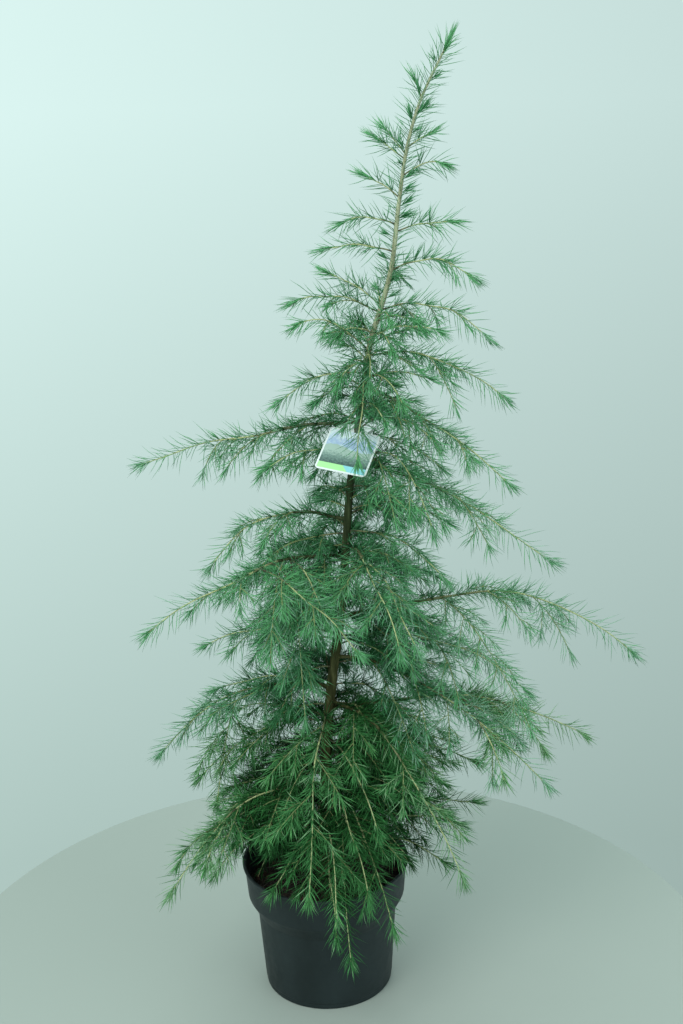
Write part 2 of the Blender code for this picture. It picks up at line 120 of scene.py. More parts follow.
def addAir():  # paler to the left, and darker towards the ground
    world = bpy.data.worlds.new("pale air")
    world.use_nodes = True
    tree = world.node_tree
    look = addNode(tree, "ShaderNodeTexCoord").outputs["Generated"]
    x, _, z = addNode(tree, "ShaderNodeSeparateXYZ", {"Vector": look}).outputs
    below = tuple(colour * left for colour, left in zip(stage["airColour"], stage["airBelow"]))
    colour = ramp(tree, spread(tree, z, stage["airHeights"]), (0.0, below), (1.0, stage["airColour"]))
    strength = spread(tree, x, stage["airSides"], stage["airStrength"])
    setOrLink(tree, tree.nodes["Background"].inputs, {"Color": colour, "Strength": strength})
    bpy.context.scene.world = world


# materials

def setOrLink(tree, sockets, values):  # a value is a constant, or an output that is linked
    for key, value in values.items():
        if isinstance(value, bpy.types.NodeSocket):
            tree.links.new(value, sockets[key])
        else:
            sockets[key].default_value = value


def addNode(tree, kind, values=None, **settings):
    node = tree.nodes.new(kind)
    for key, value in settings.items():
        setattr(node, key, value)
    setOrLink(tree, node.inputs, values or {})
    return node


def result(tree, kind, values=None, **settings):  # the first output of a new node
    return addNode(tree, kind, values, **settings).outputs[0]


def shade(made, **values):  # gives the shader's own sockets their values
    named = {key.replace("_", " "): value for key, value in values.items()}
    setOrLink(made.node_tree, made.node_tree.nodes["Principled BSDF"].inputs, named)
    return made


def newFinish(name, colour, roughness, **extra):
    made = bpy.data.materials.new(name)
    made.use_nodes = True
    return shade(made, Base_Color=(*colour, 1), Roughness=roughness, **extra)


def objectPlace(tree, stretch=(1, 1, 1)):
    place = addNode(tree, "ShaderNodeTexCoord").outputs["Object"]
    if stretch == (1, 1, 1):
        return place
    return result(tree, "ShaderNodeMapping", {"Vector": place, "Scale": stretch})


def noiseOn(tree, scale, detail=4.0, stretch=(1, 1, 1)):
    values = {"Vector": objectPlace(tree, stretch), "Scale": scale, "Detail": detail, "Roughness": 0.6}
    return result(tree, "ShaderNodeTexNoise", values)


def ramp(tree, source, *stops):
    made = addNode(tree, "ShaderNodeValToRGB", {"Fac": source})
    while len(made.color_ramp.elements) < len(stops):
        made.color_ramp.elements.new(0.5)
    for element, (position, colour) in zip(made.color_ramp.elements, stops):
        element.position = position
        element.color = (*colour, 1)
    return made.outputs["Color"]


def spread(tree, source, have, want=(0, 1)):  # maps one range of values to another
    values = {"Value": source, "From Min": have[0], "From Max": have[1], "To Min": want[0], "To Max": want[1]}
    return result(tree, "ShaderNodeMapRange", values)


def blend(tree, factor, first, second):
    values = {"Factor": factor, 6: first, 7: second}
    return addNode(tree, "ShaderNodeMix", values, data_type="RGBA").outputs[2]


def dressed(made, grain, colours=(), rough=(), relief=()):  # a noise gives colours, roughness and relief
    tree = made.node_tree
    if colours:
        shade(made, Base_Color=ramp(tree, grain, *colours))
    if rough:
        shade(made, Roughness=spread(tree, grain, (0.3, 0.7), rough))
    if relief:
        values = {"Height": grain, "Distance": relief[0], "Strength": relief[1]}
        shade(made, Normal=result(tree, "ShaderNodeBump", values))
    return made


needleLitAndShadedTones = {  # lit and shaded copies of the needle green: painted shade for the inner sprays first, then lighter tones up to the soft new tips, and the pale painted highlight last
    "needles in shade": (0.007, 0.046, 0.012),
    "needles dark": (0.013, 0.084, 0.022),
    "needles deep": (0.022, 0.130, 0.037),
    "needles green": (0.041, 0.187, 0.068),
    "needles mid green": (0.066, 0.248, 0.104),
    "needles fresh": (0.094, 0.312, 0.136),
    "needles new tip": (0.122, 0.395, 0.160),
    "needles pale highlight": (0.235, 0.440, 0.295),
}


def layered(name, colour, roughness, *layers, **extra):  # layers: (noise, colours, roughness, relief)
    made = newFinish(name, colour, roughness, **extra)
    for grain, *looks in layers:
        dressed(made, noiseOn(made.node_tree, *grain), *looks)
    return made


def needleFinishes(place="", cool=1.0):
    sheen = ((240.0, 2.0), (), (0.42, 0.62))
    return [
        layered(place + name, (red, green, blue * cool), 0.5, sheen, Specular_IOR_Level=0.22)
        for name, (red, green, blue) in needleLitAndShadedTones.items()
    ]


def barkStops(tones, first=0.30):  # dark in the fissures, light on the ridges
    return tuple(zip((first, 0.5, 0.72), tones))


def barkFinish(name, grain, *tones):
    fissures = ((grain, 6.0, (1, 1, 0.18)), barkStops(tones), (0.7, 0.95), (0.0012, 0.7))
    return layered(name, tones[1], 0.8, fissures)


# the trunk's tones at the foot, then above it, darker inside the crown as painted shade, along the boughs
# and at the leader: what they go by, from, to, where the dark tone ends, the tones
footTones = ((0.022, 0.023, 0.008), (0.068, 0.070, 0.026), (0.150, 0.145, 0.066))
trunkZones = (
    ("height", 0.60, 0.72, 0.30, ((0.013, 0.020, 0.008), (0.038, 0.052, 0.022), (0.090, 0.105, 0.050))),
    ("outward", 0.09, 0.17, 0.28, ((0.055, 0.068, 0.028), (0.14, 0.16, 0.075), (0.27, 0.29, 0.16))),
    ("height", 0.86, 1.08, 0.28, ((0.150, 0.160, 0.095), (0.290, 0.310, 0.195), (0.44, 0.47, 0.32))),
)


def trunkFinish():
    made = newFinish("cedar bark", (0.08, 0.07, 0.04), 0.85, Specular_IOR_Level=0.14)
    tree = made.node_tree
    fissures = noiseOn(tree, 130.0, 6.0, (1, 1, 0.16))
    place = objectPlace(tree)
    level = result(tree, "ShaderNodeVectorMath", {0: place, 1: (1, 1, 0)}, operation="MULTIPLY")
    outward = addNode(tree, "ShaderNodeVectorMath", {0: level}, operation="LENGTH").outputs["Value"]
    height = addNode(tree, "ShaderNodeSeparateXYZ", {"Vector": place}).outputs["Z"]
    measures = {"height": height, "outward": outward}
    colour = ramp(tree, fissures, *barkStops(footTones))
    for measure, lowest, highest, first, tones in trunkZones:
        share = spread(tree, measures[measure], (lowest, highest))
        colour = blend(tree, share, colour, ramp(tree, fissures, *barkStops(tones, first)))
    return dressed(shade(made, Base_Color=colour), fissures, rough=(0.72, 0.95), relief=(0.0015, 0.8))


def potFinish():
    dust = ((9.0, 6.0, (1, 1, 0.5)), ((0.35, (0.008, 0.014, 0.015)), (0.75, (0.021, 0.032, 0.035))))
    sheen, grain = ((60.0, 5.0), (), (0.46, 0.62)), ((900.0, 2.0), (), (), (0.0003, 0.25))
    return layered("pot plastic", (0.02, 0.03, 0.032), 0.5, dust, sheen, grain, Specular_IOR_Level=0.28)


def soilFinish():
    tones = ((0.35, (0.006, 0.004, 0.003)), (0.62, (0.030, 0.020, 0.013)), (0.8, (0.075, 0.050, 0.032)))
    return layered("potting soil", (0.02, 0.014, 0.01), 0.95, ((190.0, 8.0), tones, (), (0.004, 1.0)))


# how the tree grows: the trunk's line, and the shoots that leave it

trunk = {
    "foot": 0.172,
    "tip": 1.385,
    "lean": ((0.172, 0.000), (0.300, 0.004), (0.430, 0.011), (0.640, 0.039), (0.800, 0.054), (0.930, 0.074),
             (1.000, 0.086), (1.100, 0.116), (1.200, 0.130), (1.270, 0.142), (1.320, 0.157), (1.385, 0.189)),
    "girth": ((0.172, 0.0135), (0.185, 0.0112), (0.210, 0.0096), (0.300, 0.0086), (0.500, 0.0073),
              (0.720, 0.0058), (0.900, 0.0047), (1.040, 0.0037), (1.140, 0.0031), (1.200, 0.0027),
              (1.300, 0.0020), (1.385, 0.0013)),
}

# the tip of a shoot ends climb - nod above its root
Shoot = namedtuple("Shoot", "name height azimuth reach climb nod stiffness", defaults=[2.2])


def shootsOf(*rows):  # from rows in millimetres, where an odd stiffness comes last
    return [
        Shoot(name, height / 1000, azimuth, reach / 1000, climb / 1000, nod / 1000, *stiffness)
        for name, height, azimuth, reach, climb, nod, *stiffness in rows
    ]


boughs = shootsOf(
    ("right_upper", 942, -15, 219, -38, 102, 1.6), ("left_long", 895, 172, 335, -38, 38, 2.6),
    ("right_mid", 835, -8, 290, -20, 131, 1.7), ("back_mid", 770, 82, 220, 50, 120, 2.4),
    ("left_mid", 750, 185, 208, 65, 142, 2.8), ("front_left", 697, 215, 335, 68, 114),
    ("right_longest", 600, 3, 441, 100, 188, 3.2), ("right_lower", 538, -22, 337, 100, 264, 1.6),
    ("back_low", 500, 100, 220, 60, 170, 2.4), ("left_low", 490, 170, 282, 50, 193),
    ("front_right_low", 468, -47, 280, 40, 240), ("right_low", 457, 5, 397, 40, 119, 2.9),
)
sideShoots = shootsOf(
    ("leader_tip", 1385, 0, 6, 12, 0), ("leader_tuft", 1330, 170, 12, 30, 2),
    ("leader_right", 1266, 0, 44, 30, 6), ("leader_left", 1251, 175, 50, 42, 6),
    ("top_right", 1229, 10, 73, 55, 51), ("top_left", 1201, 180, 62, 56, 22),
    ("high_left", 1165, 185, 90, 45, 49), ("high_right", 1156, 0, 94, 34, 26),
    ("high_front_left", 1129, 195, 113, 44, 40), ("high_front_right", 1103, -10, 124, 73, 93),
    ("high_back", 1080, 80, 110, 50, 60), ("upper_right", 1050, 5, 160, 51, 108),
    ("upper_left", 1047, 175, 133, 79, 73), ("upper_front", 1010, -69, 90, 72, 86),
    ("upper_front_left", 995, 190, 115, 117, 88, 2.6), ("upper_back", 1015, 110, 150, 50, 90),
    ("right_high", 987, 0, 200, 38, 115, 2.1), ("left_high", 963, 190, 135, 29, 74, 2.1),
    ("back_high", 900, 70, 180, 40, 100), ("front_drooping", 847, -42, 150, 50, 151, 3.2),
    ("left_short", 847, 200, 141, 56, 69, 2.3), ("front_long", 712, -70, 226, 35, 132),
    ("back_right_mid", 691, 32, 172, 0, 75, 1.9), ("back_left_mid", 630, 125, 200, 40, 120),
    ("back_left_low", 576, 160, 232, 26, 84), ("right_inner", 572, -8, 287, 32, 121, 2.8),
    ("front_low", 445, -98, 210, 105, 313), ("back_left_foot", 340, 135, 220, 60, 170),
    ("front_right_foot", 332, -58, 190, 38, 215), ("left_foot", 318, 210, 270, 152, 261),
    ("back_right_foot", 310, 48, 220, 50, 130), ("front_foot", 291, -78, 180, 113, 289),
)
# slighter shoots between the masses, too fine for a solid of their own
fineShoots = shootsOf(*(("", *row) for row in (
    (1257, 160, 38, 50, 8), (1056, 165, 92, 77, 30), (1013, -30, 121, 69, 59), (759, 60, 170, 1, 79, 2.0),
    (697, 150, 99, 17, 15), (405, -64, 180, 49, 140), (354, -74, 170, -9, 37), (313, 236, 155, -93, 17),
    (296, 20, 264, -25, 28, 2.0), (247, -85, 145, 25, 141), (1040, 285, 80, 52, 55),
    (985, 261, 119, 0, 133, 1.3), (972, 240, 85, 50, 70), (958, 305, 100, 45, 80), (945, 258, 65, 36, 50),
    (930, 290, 70, 40, 50), (715, 297, 225, 30, 130, 1.9), (262, 275, 212, 20, 102, 2.0),
    (300, 275, 231, 30, 106), (385, 235, 130, 40, 128), (300, 215, 112, 30, 93),
    (330, 290, 193, 30, 137, 2.4), (385, 206, 105, 30, 110), (372, 172, 110, 30, 100),
    (350, 194, 130, 30, 105), (330, 178, 150, 30, 90),
    (330, 200, 215, 50, 150), (300, 207, 195, 40, 125), (285, 188, 200, 45, 110), (360, 20, 190, 30, 100),
    (330, 35, 190, 30, 90), (400, 12, 190, 30, 100), (345, -10, 150, 40, 95), (905, -28, 130, 30, 70),
    (870, -16, 135, 30, 80), (800, -35, 120, 30, 70),
)))
# branches of a bough: its name, and how far out along it in thousandths in place of a height
offShoots = shootsOf(
    ("front_left", 430, 323, 185, 0, 98, 1.6), ("front_left", 360, 317, 75, 10, 105, 1.8),
    ("front_left", 280, 300, 120, 10, 90, 2.0), ("front_left", 270, 300, 30, 0, 265, 1.5),
    ("left_low", 460, 235, 65, 0, 178, 1.3), ("left_foot", 360, 180, 90, 0, 90, 1.8),
    ("left_foot", 500, 232, 80, 0, 80, 1.8), ("left_foot", 620, 188, 70, 0, 70, 1.8),
    ("right_low", 480, 30, 100, 0, 70, 1.8), ("right_low", 620, -28, 90, 0, 80, 1.8),
    ("right_lower", 520, 18, 110, 0, 90, 1.8), ("right_lower", 640, -60, 80, 0, 80, 1.8),
)
# thin shoots that fill the inside of the crown, in turn through a sector: count, first azimuth, width of
# the sector, heights, reach, climb, nod
innerShoots = (
    (20, 0, 360, (0.76, 1.06), (0.05, 0.12), (0.03, 0.06), (0.03, 0.08)),
    (44, 0, 360, (0.42, 0.76), (0.08, 0.20), (0.02, 0.05), (0.04, 0.12)),
    (32, 0, 360, (0.22, 0.42), (0.10, 0.20), (0.03, 0.09), (0.09, 0.20)),
    (16, -42, 80, (0.26, 0.42), (0.12, 0.24), (0.02, 0.07), (0.06, 0.14)),
    (5, 150, 60, (0.28, 0.44), (0.12, 0.22), (0.02, 0.07), (0.06, 0.16)),
    (34, 0, 360, (0.66, 1.00), (0.025, 0.060), (0.01, 0.04), (0.01, 0.03)),
)
# heights and sectors of the front that no inner shoot fills: the trunk, and the pot's mouth, show there
openFront = ((0.44, 0.90, 238, 312), (0.20, 0.44, 195, 345))
# tufts up the leader, in millimetres: height, azimuth, lean from the upright, needles, their length
leaderTufts = (
    (1372, 200, 28, 7, 20), (1353, 10, 60, 10, 15), (1330, 185, 12, 14, 21), (1308, 355, 40, 28, 31),
    (1301, 190, 14, 20, 24), (1284, 330, 50, 9, 18), (1262, 200, 25, 16, 22), (1243, 250, 60, 10, 20),
    (1226, 345, 55, 22, 26), (1208, 325, 62, 26, 27), (1190, 10, 60, 20, 24), (1174, 335, 66, 26, 28),
    (1150, 200, 60, 14, 22), (1118, 150, 64, 14, 24), (1090, 300, 60, 16, 24), (1066, 20, 66, 16, 24),
)
regions = (("top", 1.02), ("upper", 0.86), ("shoulder", 0.70), ("middle", 0.575), ("lower", 0.475),
           ("skirt", 0.36), ("foot", 0.0))

growth = {
    "seed": 27,
    "points": 33,  # along a shoot
    "goldenShare": 0.382,
    "aimJitter": 12,
    "beforeCard": 0.006,
    "leaderFoot": 0.98,
    "plainFront": -0.08,  # the shoots that hang over the pot are nearly plain
    "plainBelow": 0.36,
    "plainBeside": -0.20,
    "plainSpacing": 1.8,
    "lowestTip": 0.19,  # of the shoots that fill the inside, to the right
    "innerRadius": 0.0014,
    "lowTop": 0.31,  # side twigs stay short beside the pot
    "lowShare": 0.55,
    "bareEnd": 0.30,  # a long shoot's outer part carries no side twigs
    "bareLength": 0.15,
    "bareTip": 0.012,
    "sideAngle": (36, 58),
    "sideTilt": (-0.40, 0.30),
    "sizeSpread": (0.70, 1.12),
    "spacingSpread": (0.75, 1.25),
    "stub": 0.010,
    "sag": 0.45,
    "sagSpread": (0.4, 1.3),
    "curl": 0.16,
    "taper": 0.72,
    "hangingShare": 0.22,  # of the longer side twigs in the inner half of a shoot, above a height
    "hangingLength": 0.05,
    "hangingAbove": 0.42,
    "hangingMore": (1.2, 1.7),
    "hangingSag": 0.35,
    "wander": 0.022,
    "woodShort": 0.018,
    "woodShortShare": 0.25,
    "fineFrom": 0.040,  # a side twig this long carries fine ones
    "tipRadius": 0.0007,
    "boughRoot": (0.0020, 0.0014),  # radius at the root, and how much it grows with reach
    "boughTaper": ((0, 1), (0.30, 0.80), (0.60, 0.45)),
    "shootRoot": (0.0009, 0.0030),
    "shootTaper": 1.3,
    "barkSteps": ((0.12, 0.30), (0.34, 0.50)),  # where a shoot and a bough change their bark
}
sideTwigs = {
    "order": 1,
    "spacing": 0.034,
    "share": 0.40,  # of the wood that is left beyond it
    "most": 0.110,
    "least": 0.022,
    "radius": 0.0008,
    "clear": 0.012,
    "points": 11,
}
fineTwigs = {
    "order": 2,
    "spacing": 0.026,
    "share": 0.38,
    "most": 0.040,
    "least": 0.016,
    "radius": 0.0006,
    "clear": 0.006,
    "points": 6,
}
leaderBud = (0.196, 0.0, 1.399)  # where the leader's last needles spring from
# rows of four are for the leader, a shoot, a side twig and a fine twig
needle = {
    "spacing": 0.00145,
    "spacings": (0.8, 1.1, 1.0, 1.0),
    "spacingJitter": 0.3,
    "first": (0.018, 0.2, 0.003),  # on a shoot, at most this share of it, and on a twig
    "length": (0.024, 0.043),
    "fineLength": 0.92,
    "shortAtTip": ((0.0, 0.72), (0.02, 1.0)),
    "halfWidth": 0.00050,
    "leans": ((0.0, 28), (0.012, 40), (0.05, 55)),  # from the twig's tip inwards, in degrees
    "leanSpread": 7,
    "turn": 137.5,
    "turnJitter": 0.25,
    "droop": 0.14,
    "droopSpread": (0.3, 1.5),
    "newTips": ((0.025, 0.8), (0.012, 0.5)),
    "spurSpacing": 0.013,
    "spurNeedles": 10,
    "spurStart": 0.018,
    "spurAhead": 0.85,
    "spurSpread": 0.62,
    "spurTurn": (-0.2 * math.pi, 1.2 * math.pi),
    "spurShare": (0.70, 0.30),
    "spurLength": (0.018, 0.032),
    "brushNeedles": (46, 30, 12, 6),
    "brushSpread": (0.30, 0.80, 0.60, 0.55),
    "brushLength": (0.020, 0.034),
    "brushLengths": (1.0, 1.0, 0.85, 0.75),
    "brushDepth": 0.016,
    "brushFull": (0.05, 0.4),  # on a stem this long, and the least share on a shorter one
    "brushBright": (0.85, 0.4),  # on a shoot, and on a twig
    "tuftSpread": 0.60,
    "tuftDepth": 0.007,
    "tuftLength": (0.7, 1.08),
    "edgeSpread": (0.7, 1.3),
    "darker": ((0.062, 0.90), (0.115, 0.36)),  # painted shade: a tone darker within this reach of the trunk, below this height
    "lowCool": 0.76,
    # painted light and shade by height: how many tones paler the needles are dealt, below zero darker at the
    # foot
    "paler": ((0.20, -0.4), (0.34, 0.1), (0.48, 1.25), (0.60, 2.2), (0.72, 2.95), (0.90, 2.1), (1.00, 2.2),
              (1.20, 1.9)),
    # painted light: tones paler further from the trunk
    "paintedLightOut": ((0.12, 0.0), (0.20, 0.6), (0.32, 1.0)),
    # pale painted highlights: their share by reach from the trunk, then by height and by distance to the side
    "highlightShare": ((0.05, 0.07), (0.12, 0.16), (0.20, 0.28), (0.35, 0.40)),
    "highlightUp": ((0.28, 0.1), (0.42, 1.0)),
    "highlightBeside": ((0.09, 0.2), (0.15, 1.7)),
    # a tip brush above this height is dealt a tone paler: painted light
    "paintedLightAbove": 0.95,
    "mouthTop": 0.27,
    "mouthReach": 0.105,
    "thinMouth": 0.5,  # of the needles over the pot's mouth
    "least": (1.0, 0.74, 0.0, 0.0),  # the share that thinning leaves
    "thinUp": ((0.62, 1.0), (0.90, 0.70), (1.05, 0.60)),
    "thinOut": ((0.08, 1.0), (0.20, 0.75), (0.32, 0.60), (0.42, 0.48)),
}
twigBarks = (  # name, grain, and the tones of older, greening, straw and twig bark
    ("older bark", 220.0, (0.022, 0.024, 0.012), (0.060, 0.062, 0.032), (0.13, 0.13, 0.075)),
    ("greening bark", 240.0, (0.09, 0.095, 0.045), (0.17, 0.18, 0.085), (0.28, 0.29, 0.15)),
    ("straw bark", 260.0, (0.23, 0.26, 0.11), (0.41, 0.45, 0.21), (0.58, 0.62, 0.35)),
    ("twig bark", 260.0, (0.12, 0.15, 0.06), (0.21, 0.26, 0.10), (0.33, 0.38, 0.17)),
)

Stem = namedtuple("Stem", "line radius region tone order bough", defaults=[False])


def curve(rows, at):  # straight between rows of (position, value)
    return np.interp(at, *zip(*rows))


def smoothThrough(rows, at):  # a smooth curve through them
    x, y = np.array(rows).T
    slope = np.gradient(y, x)
    i = np.clip(np.searchsorted(x, at) - 1, 0, len(x) - 2)
    h = x[i + 1] - x[i]
    t = (at - x[i]) / h
    rise = (2 * t ** 3 - 3 * t ** 2 + 1) * y[i] + (3 * t ** 2 - 2 * t ** 3) * y[i + 1]
    return rise + (t ** 3 - 2 * t ** 2 + t) * h * slope[i] + (t ** 3 - t ** 2) * h * slope[i + 1]


def trunkAxis(height):
    height = np.asarray(height, float)
    return np.stack([smoothThrough(trunk["lean"], height), np.zeros_like(height), height], -1)


def fromTrunk(places):  # how far out they are
    middle = trunkAxis(np.clip(places[:, 2], trunk["foot"], trunk["tip"]))
    return np.linalg.norm(places[:, :2] - middle[:, :2], axis=1)


def arcOf(line):
    return np.concatenate([[0], np.cumsum(np.linalg.norm(np.diff(line, axis=0), axis=1))])


def along(line, arcs, carried=None):  # places at these arc lengths, or the vectors that the line carries
    have, carried = arcOf(line), line if carried is None else carried
    return np.stack([np.interp(arcs, have, column) for column in carried.T], -1)


def headings(line):
    ahead = np.gradient(line, axis=0)
    return ahead / np.linalg.norm(ahead, axis=1)[:, None]


def unit(vectors):
    return vectors / np.maximum(np.linalg.norm(vectors, axis=-1, keepdims=True), 1e-9)


def frames(line):  # heading, sideways and upward unit vectors along a line
    ahead = headings(line)
    level = np.cross(ahead, [0, 0, 1.0])
    level[np.linalg.norm(level, axis=1) < 0.05] = np.array([0, 1.0, 0])
    level = unit(level)
    return ahead, level, np.cross(level, ahead)


def framesAt(line, arcs):
    return (along(line, arcs, vectors) for vectors in frames(line))


def between(turn, first, second):  # turned from the first vectors towards the second
    return np.cos(turn)[:, None] * first + np.sin(turn)[:, None] * second


def levelAt(azimuth):
    turn = math.radians(azimuth)
    return np.array([math.cos(turn), math.sin(turn), 0.0])


def shootLine(shoot, start=None):  # the wood alone: it stops short of the tip, where only needles go on
    start = trunkAxis(shoot.height) if start is None else start
    chance = random.Random(round(10000 * shoot.height) + round(shoot.azimuth))
    out, up = levelAt(shoot.azimuth), np.array([0, 0, 1.0])
    side = np.array([-out[1], out[0], 0.0])
    share = np.linspace(0, 1, 49)
    rise = shoot.climb * share - shoot.nod * share ** shoot.stiffness
    line = start + share[:, None] * shoot.reach * out + rise[:, None] * up
    for across, rates in ((side, (7, 12)), (up, (8, 14))):
        wave = np.sin(share * chance.uniform(*rates) + chance.uniform(0, 6))
        sway = growth["wander"] * shoot.reach * wave * share
        line = line + (sway * (1 - share))[:, None] * 2 * across
    length = arcOf(line)[-1]
    wood = length - min(growth["woodShort"], growth["woodShortShare"] * length)
    return along(line, np.linspace(0, wood, growth["points"]))


def shootRadius(kind, reach, share):
    tip = growth["tipRadius"]
    thick, more = growth[kind + "Root"]
    root = thick + more * reach
    if kind == "bough":
        return curve([(at, left * root) for at, left in growth["boughTaper"]] + [(1, tip)], share)
    return tip + (root - tip) * (1 - share) ** growth["shootTaper"]


def regionOf(height):
    return next(name for name, foot in regions if height >= foot)


pot = {
    "height": 0.205,
    "wall": 0.002,
    "floor": 0.003,
    "rimRadius": 0.1265,
    "lip": 0.003,
    "lipFall": 0.0008,
    "collarTop": 0.1235,
    "collarFoot": 0.1195,
    "collarFootHeight": 0.152,
    "shoulder": 0.106,
    "shoulderHeight": 0.127,
    "base": 0.097,
    "baseTop": (0.0012, 0.010),  # how much wider the body is there
    "baseEdge": 0.0085,
    "footRing": (0.008, 0.010),
    "recess": 0.0016,
    "corner": 0.0024,
    "sides": 128,
}
soil = {
    "top": 0.172,
    "most": 0.176,
    "fall": 0.006,
    "crown": 0.03,
    "rings": 60,
    "sides": 150,
    "lumps": 0.0035,
    "lumpScale": 70,
    "lumpsEvery": ((1, 1), (2.9, 0.6), (7, 0.35)),  # scale and share of each size of lump
    "tuckIn": (0.985, 0.93),  # at the wall, and below
    "gap": 0.0012,
    "foot": 0.147,
}
card = {
    "width": 0.072,
    "height": 0.080,
    "thickness": 0.0008,
    "edge": 0.0003,
    "corner": 0.006,
    "top": (0.065, -0.024, 0.887),
    "leanBack": 60,
    "roll": 17,
    "strapHeight": 0.915,
    "strapWidth": 0.0045,
    "strapThickness": 0.0009,
    "strapRoom": 1.2,  # thicknesses between the trunk and the strap's middle
    "strapStart": (0, -0.0006, -0.004),
    "strapSlack": (0, -0.004, -0.004),
    "strapRows": (32, 14),  # round the trunk, and down to the card
}
clear = {"gap": 0.0015, "collar": 0.006, "shoulder": 0.008, "card": 0.004, "behindCard": 0.003,
         "floor": 0.004}
cardPlace = Matrix.Translation(card["top"]) @ turnBy(-card["leanBack"], "X") @ turnBy(card["roll"], "Y")
intoCard = np.array(cardPlace.inverted())


def barred(points, beforeCard=0.014):  # True where foliage would run into the pot, the soil or the label
    across = np.linalg.norm(points[..., :2], axis=-1)
    height = points[..., 2]
    collar = (pot["collarFoot"] - clear["collar"] < across) & (across < pot["rimRadius"] + clear["gap"])
    inPot = (height < pot["height"] + clear["gap"]) & collar
    inPot |= (height < soil["top"] + clear["gap"]) & (across < pot["collarTop"] + clear["gap"])
    inPot &= ~((height < pot["collarFootHeight"]) & (across > pot["shoulder"] + clear["shoulder"]))
    x, y, z = np.moveaxis(points @ intoCard[:3, :3].T + intoCard[:3, 3], -1, 0)
    overCard = (abs(x) < 0.55 * card["width"]) & (z < clear["card"]) & (z > -card["height"] - clear["card"])
    overCard &= (y < clear["behindCard"]) & (y > -beforeCard)
    return inPot | overCard | (height < clear["floor"])


def outsideBox(points, slack=0.004):
    low, high = np.array(cadLow) - slack, np.array(cadHigh) + slack
    return ((points < low) | (points > high)).any(axis=-1)


def trimmed(line, radius, beforeCard=0.030):  # up to where it would run into something
    bad = np.nonzero(barred(line, beforeCard))[0]
    end = bad[0] if len(bad) else len(line)
    return line[:end], radius[:end]


def branchOff(parent, kind, chance, sparser=1, shorter=1):
    line, order, radius = parent.line, kind["order"], kind["radius"]
    spacing, most = kind["spacing"] * sparser, kind["most"] * shorter
    length = arcOf(line)[-1]
    ahead, level, upward = frames(line)
    grown = []
    hand = chance.choice((-1, 1))
    arc = chance.uniform(0.3, 1.0) * spacing + kind["clear"]
    bare = growth["bareEnd"] * length if order == 1 and length > growth["bareLength"] else growth["bareTip"]
    while arc < length - bare:
        hand = -hand
        size = min(kind["share"] * (length - arc) + growth["stub"], most)
        size *= chance.uniform(*growth["sizeSpread"])
        where = arc / length * (len(line) - 1)
        i = min(int(where), len(line) - 2)
        start = line[i] + (where - i) * (line[i + 1] - line[i])
        arc += spacing * chance.uniform(*growth["spacingSpread"])
        if size < kind["least"]:
            continue
        angle = math.radians(chance.uniform(*growth["sideAngle"]))
        tilt = chance.uniform(*growth["sideTilt"])
        sag = growth["sag"] * chance.uniform(*growth["sagSpread"])
        longTwig = order == 1 and size > growth["hangingLength"]
        inner = start[2] > growth["hangingAbove"] and where < 0.5 * len(line)
        if longTwig and inner and chance.random() < growth["hangingShare"]:
            size *= chance.uniform(*growth["hangingMore"])
            sag += growth["hangingSag"]
        heading = unit(math.cos(angle) * ahead[i] + math.sin(angle) * (hand * level[i] + tilt * upward[i]))
        share = np.linspace(0, 1, kind["points"])[:, None]
        twig = start + share * size * heading
        twig = twig + (share ** 2) * size * np.array([0, 0, -sag])
        curl = chance.uniform(-growth["curl"], growth["curl"])
        twig = twig + (share ** 2) * size * curl * ahead[i]
        twig, radii = trimmed(twig, np.linspace(radius, growth["taper"] * radius, len(twig)))
        if len(twig) > 2:
            tone = max(0, min(3, parent.tone + chance.choice((-1, 0, 0, 0, 1))))
            grown.append(Stem(twig, radii, parent.region, tone, order))
    return grown


def innerShoot(number, i, chance, count, first, width, heights, reaches, climbs, nods):
    height = heights[0] + (heights[1] - heights[0]) * (i + chance.random()) / count
    jitter = growth["aimJitter"]
    aim = first + (number * growth["goldenShare"] % 1) * width + chance.uniform(-jitter, jitter)
    azimuth = aim % 360
    reach, climb, nod = (chance.uniform(*pair) for pair in (reaches, climbs, nods))
    if math.cos(math.radians(azimuth)) > 0.5:
        nod = min(nod, height + climb - growth["lowestTip"])
    return Shoot("", height, azimuth, reach, climb, nod)


def stemOf(shoot, tone, start=None, radius=None, bough=False, **room):
    line = shootLine(shoot, start)
    region = regionOf(line[0][2])
    if radius is None:
        radius = shootRadius("bough" if bough else "shoot", shoot.reach, np.linspace(0, 1, len(line)))
    return Stem(*trimmed(line, radius, **room), region, tone, 0, bough)


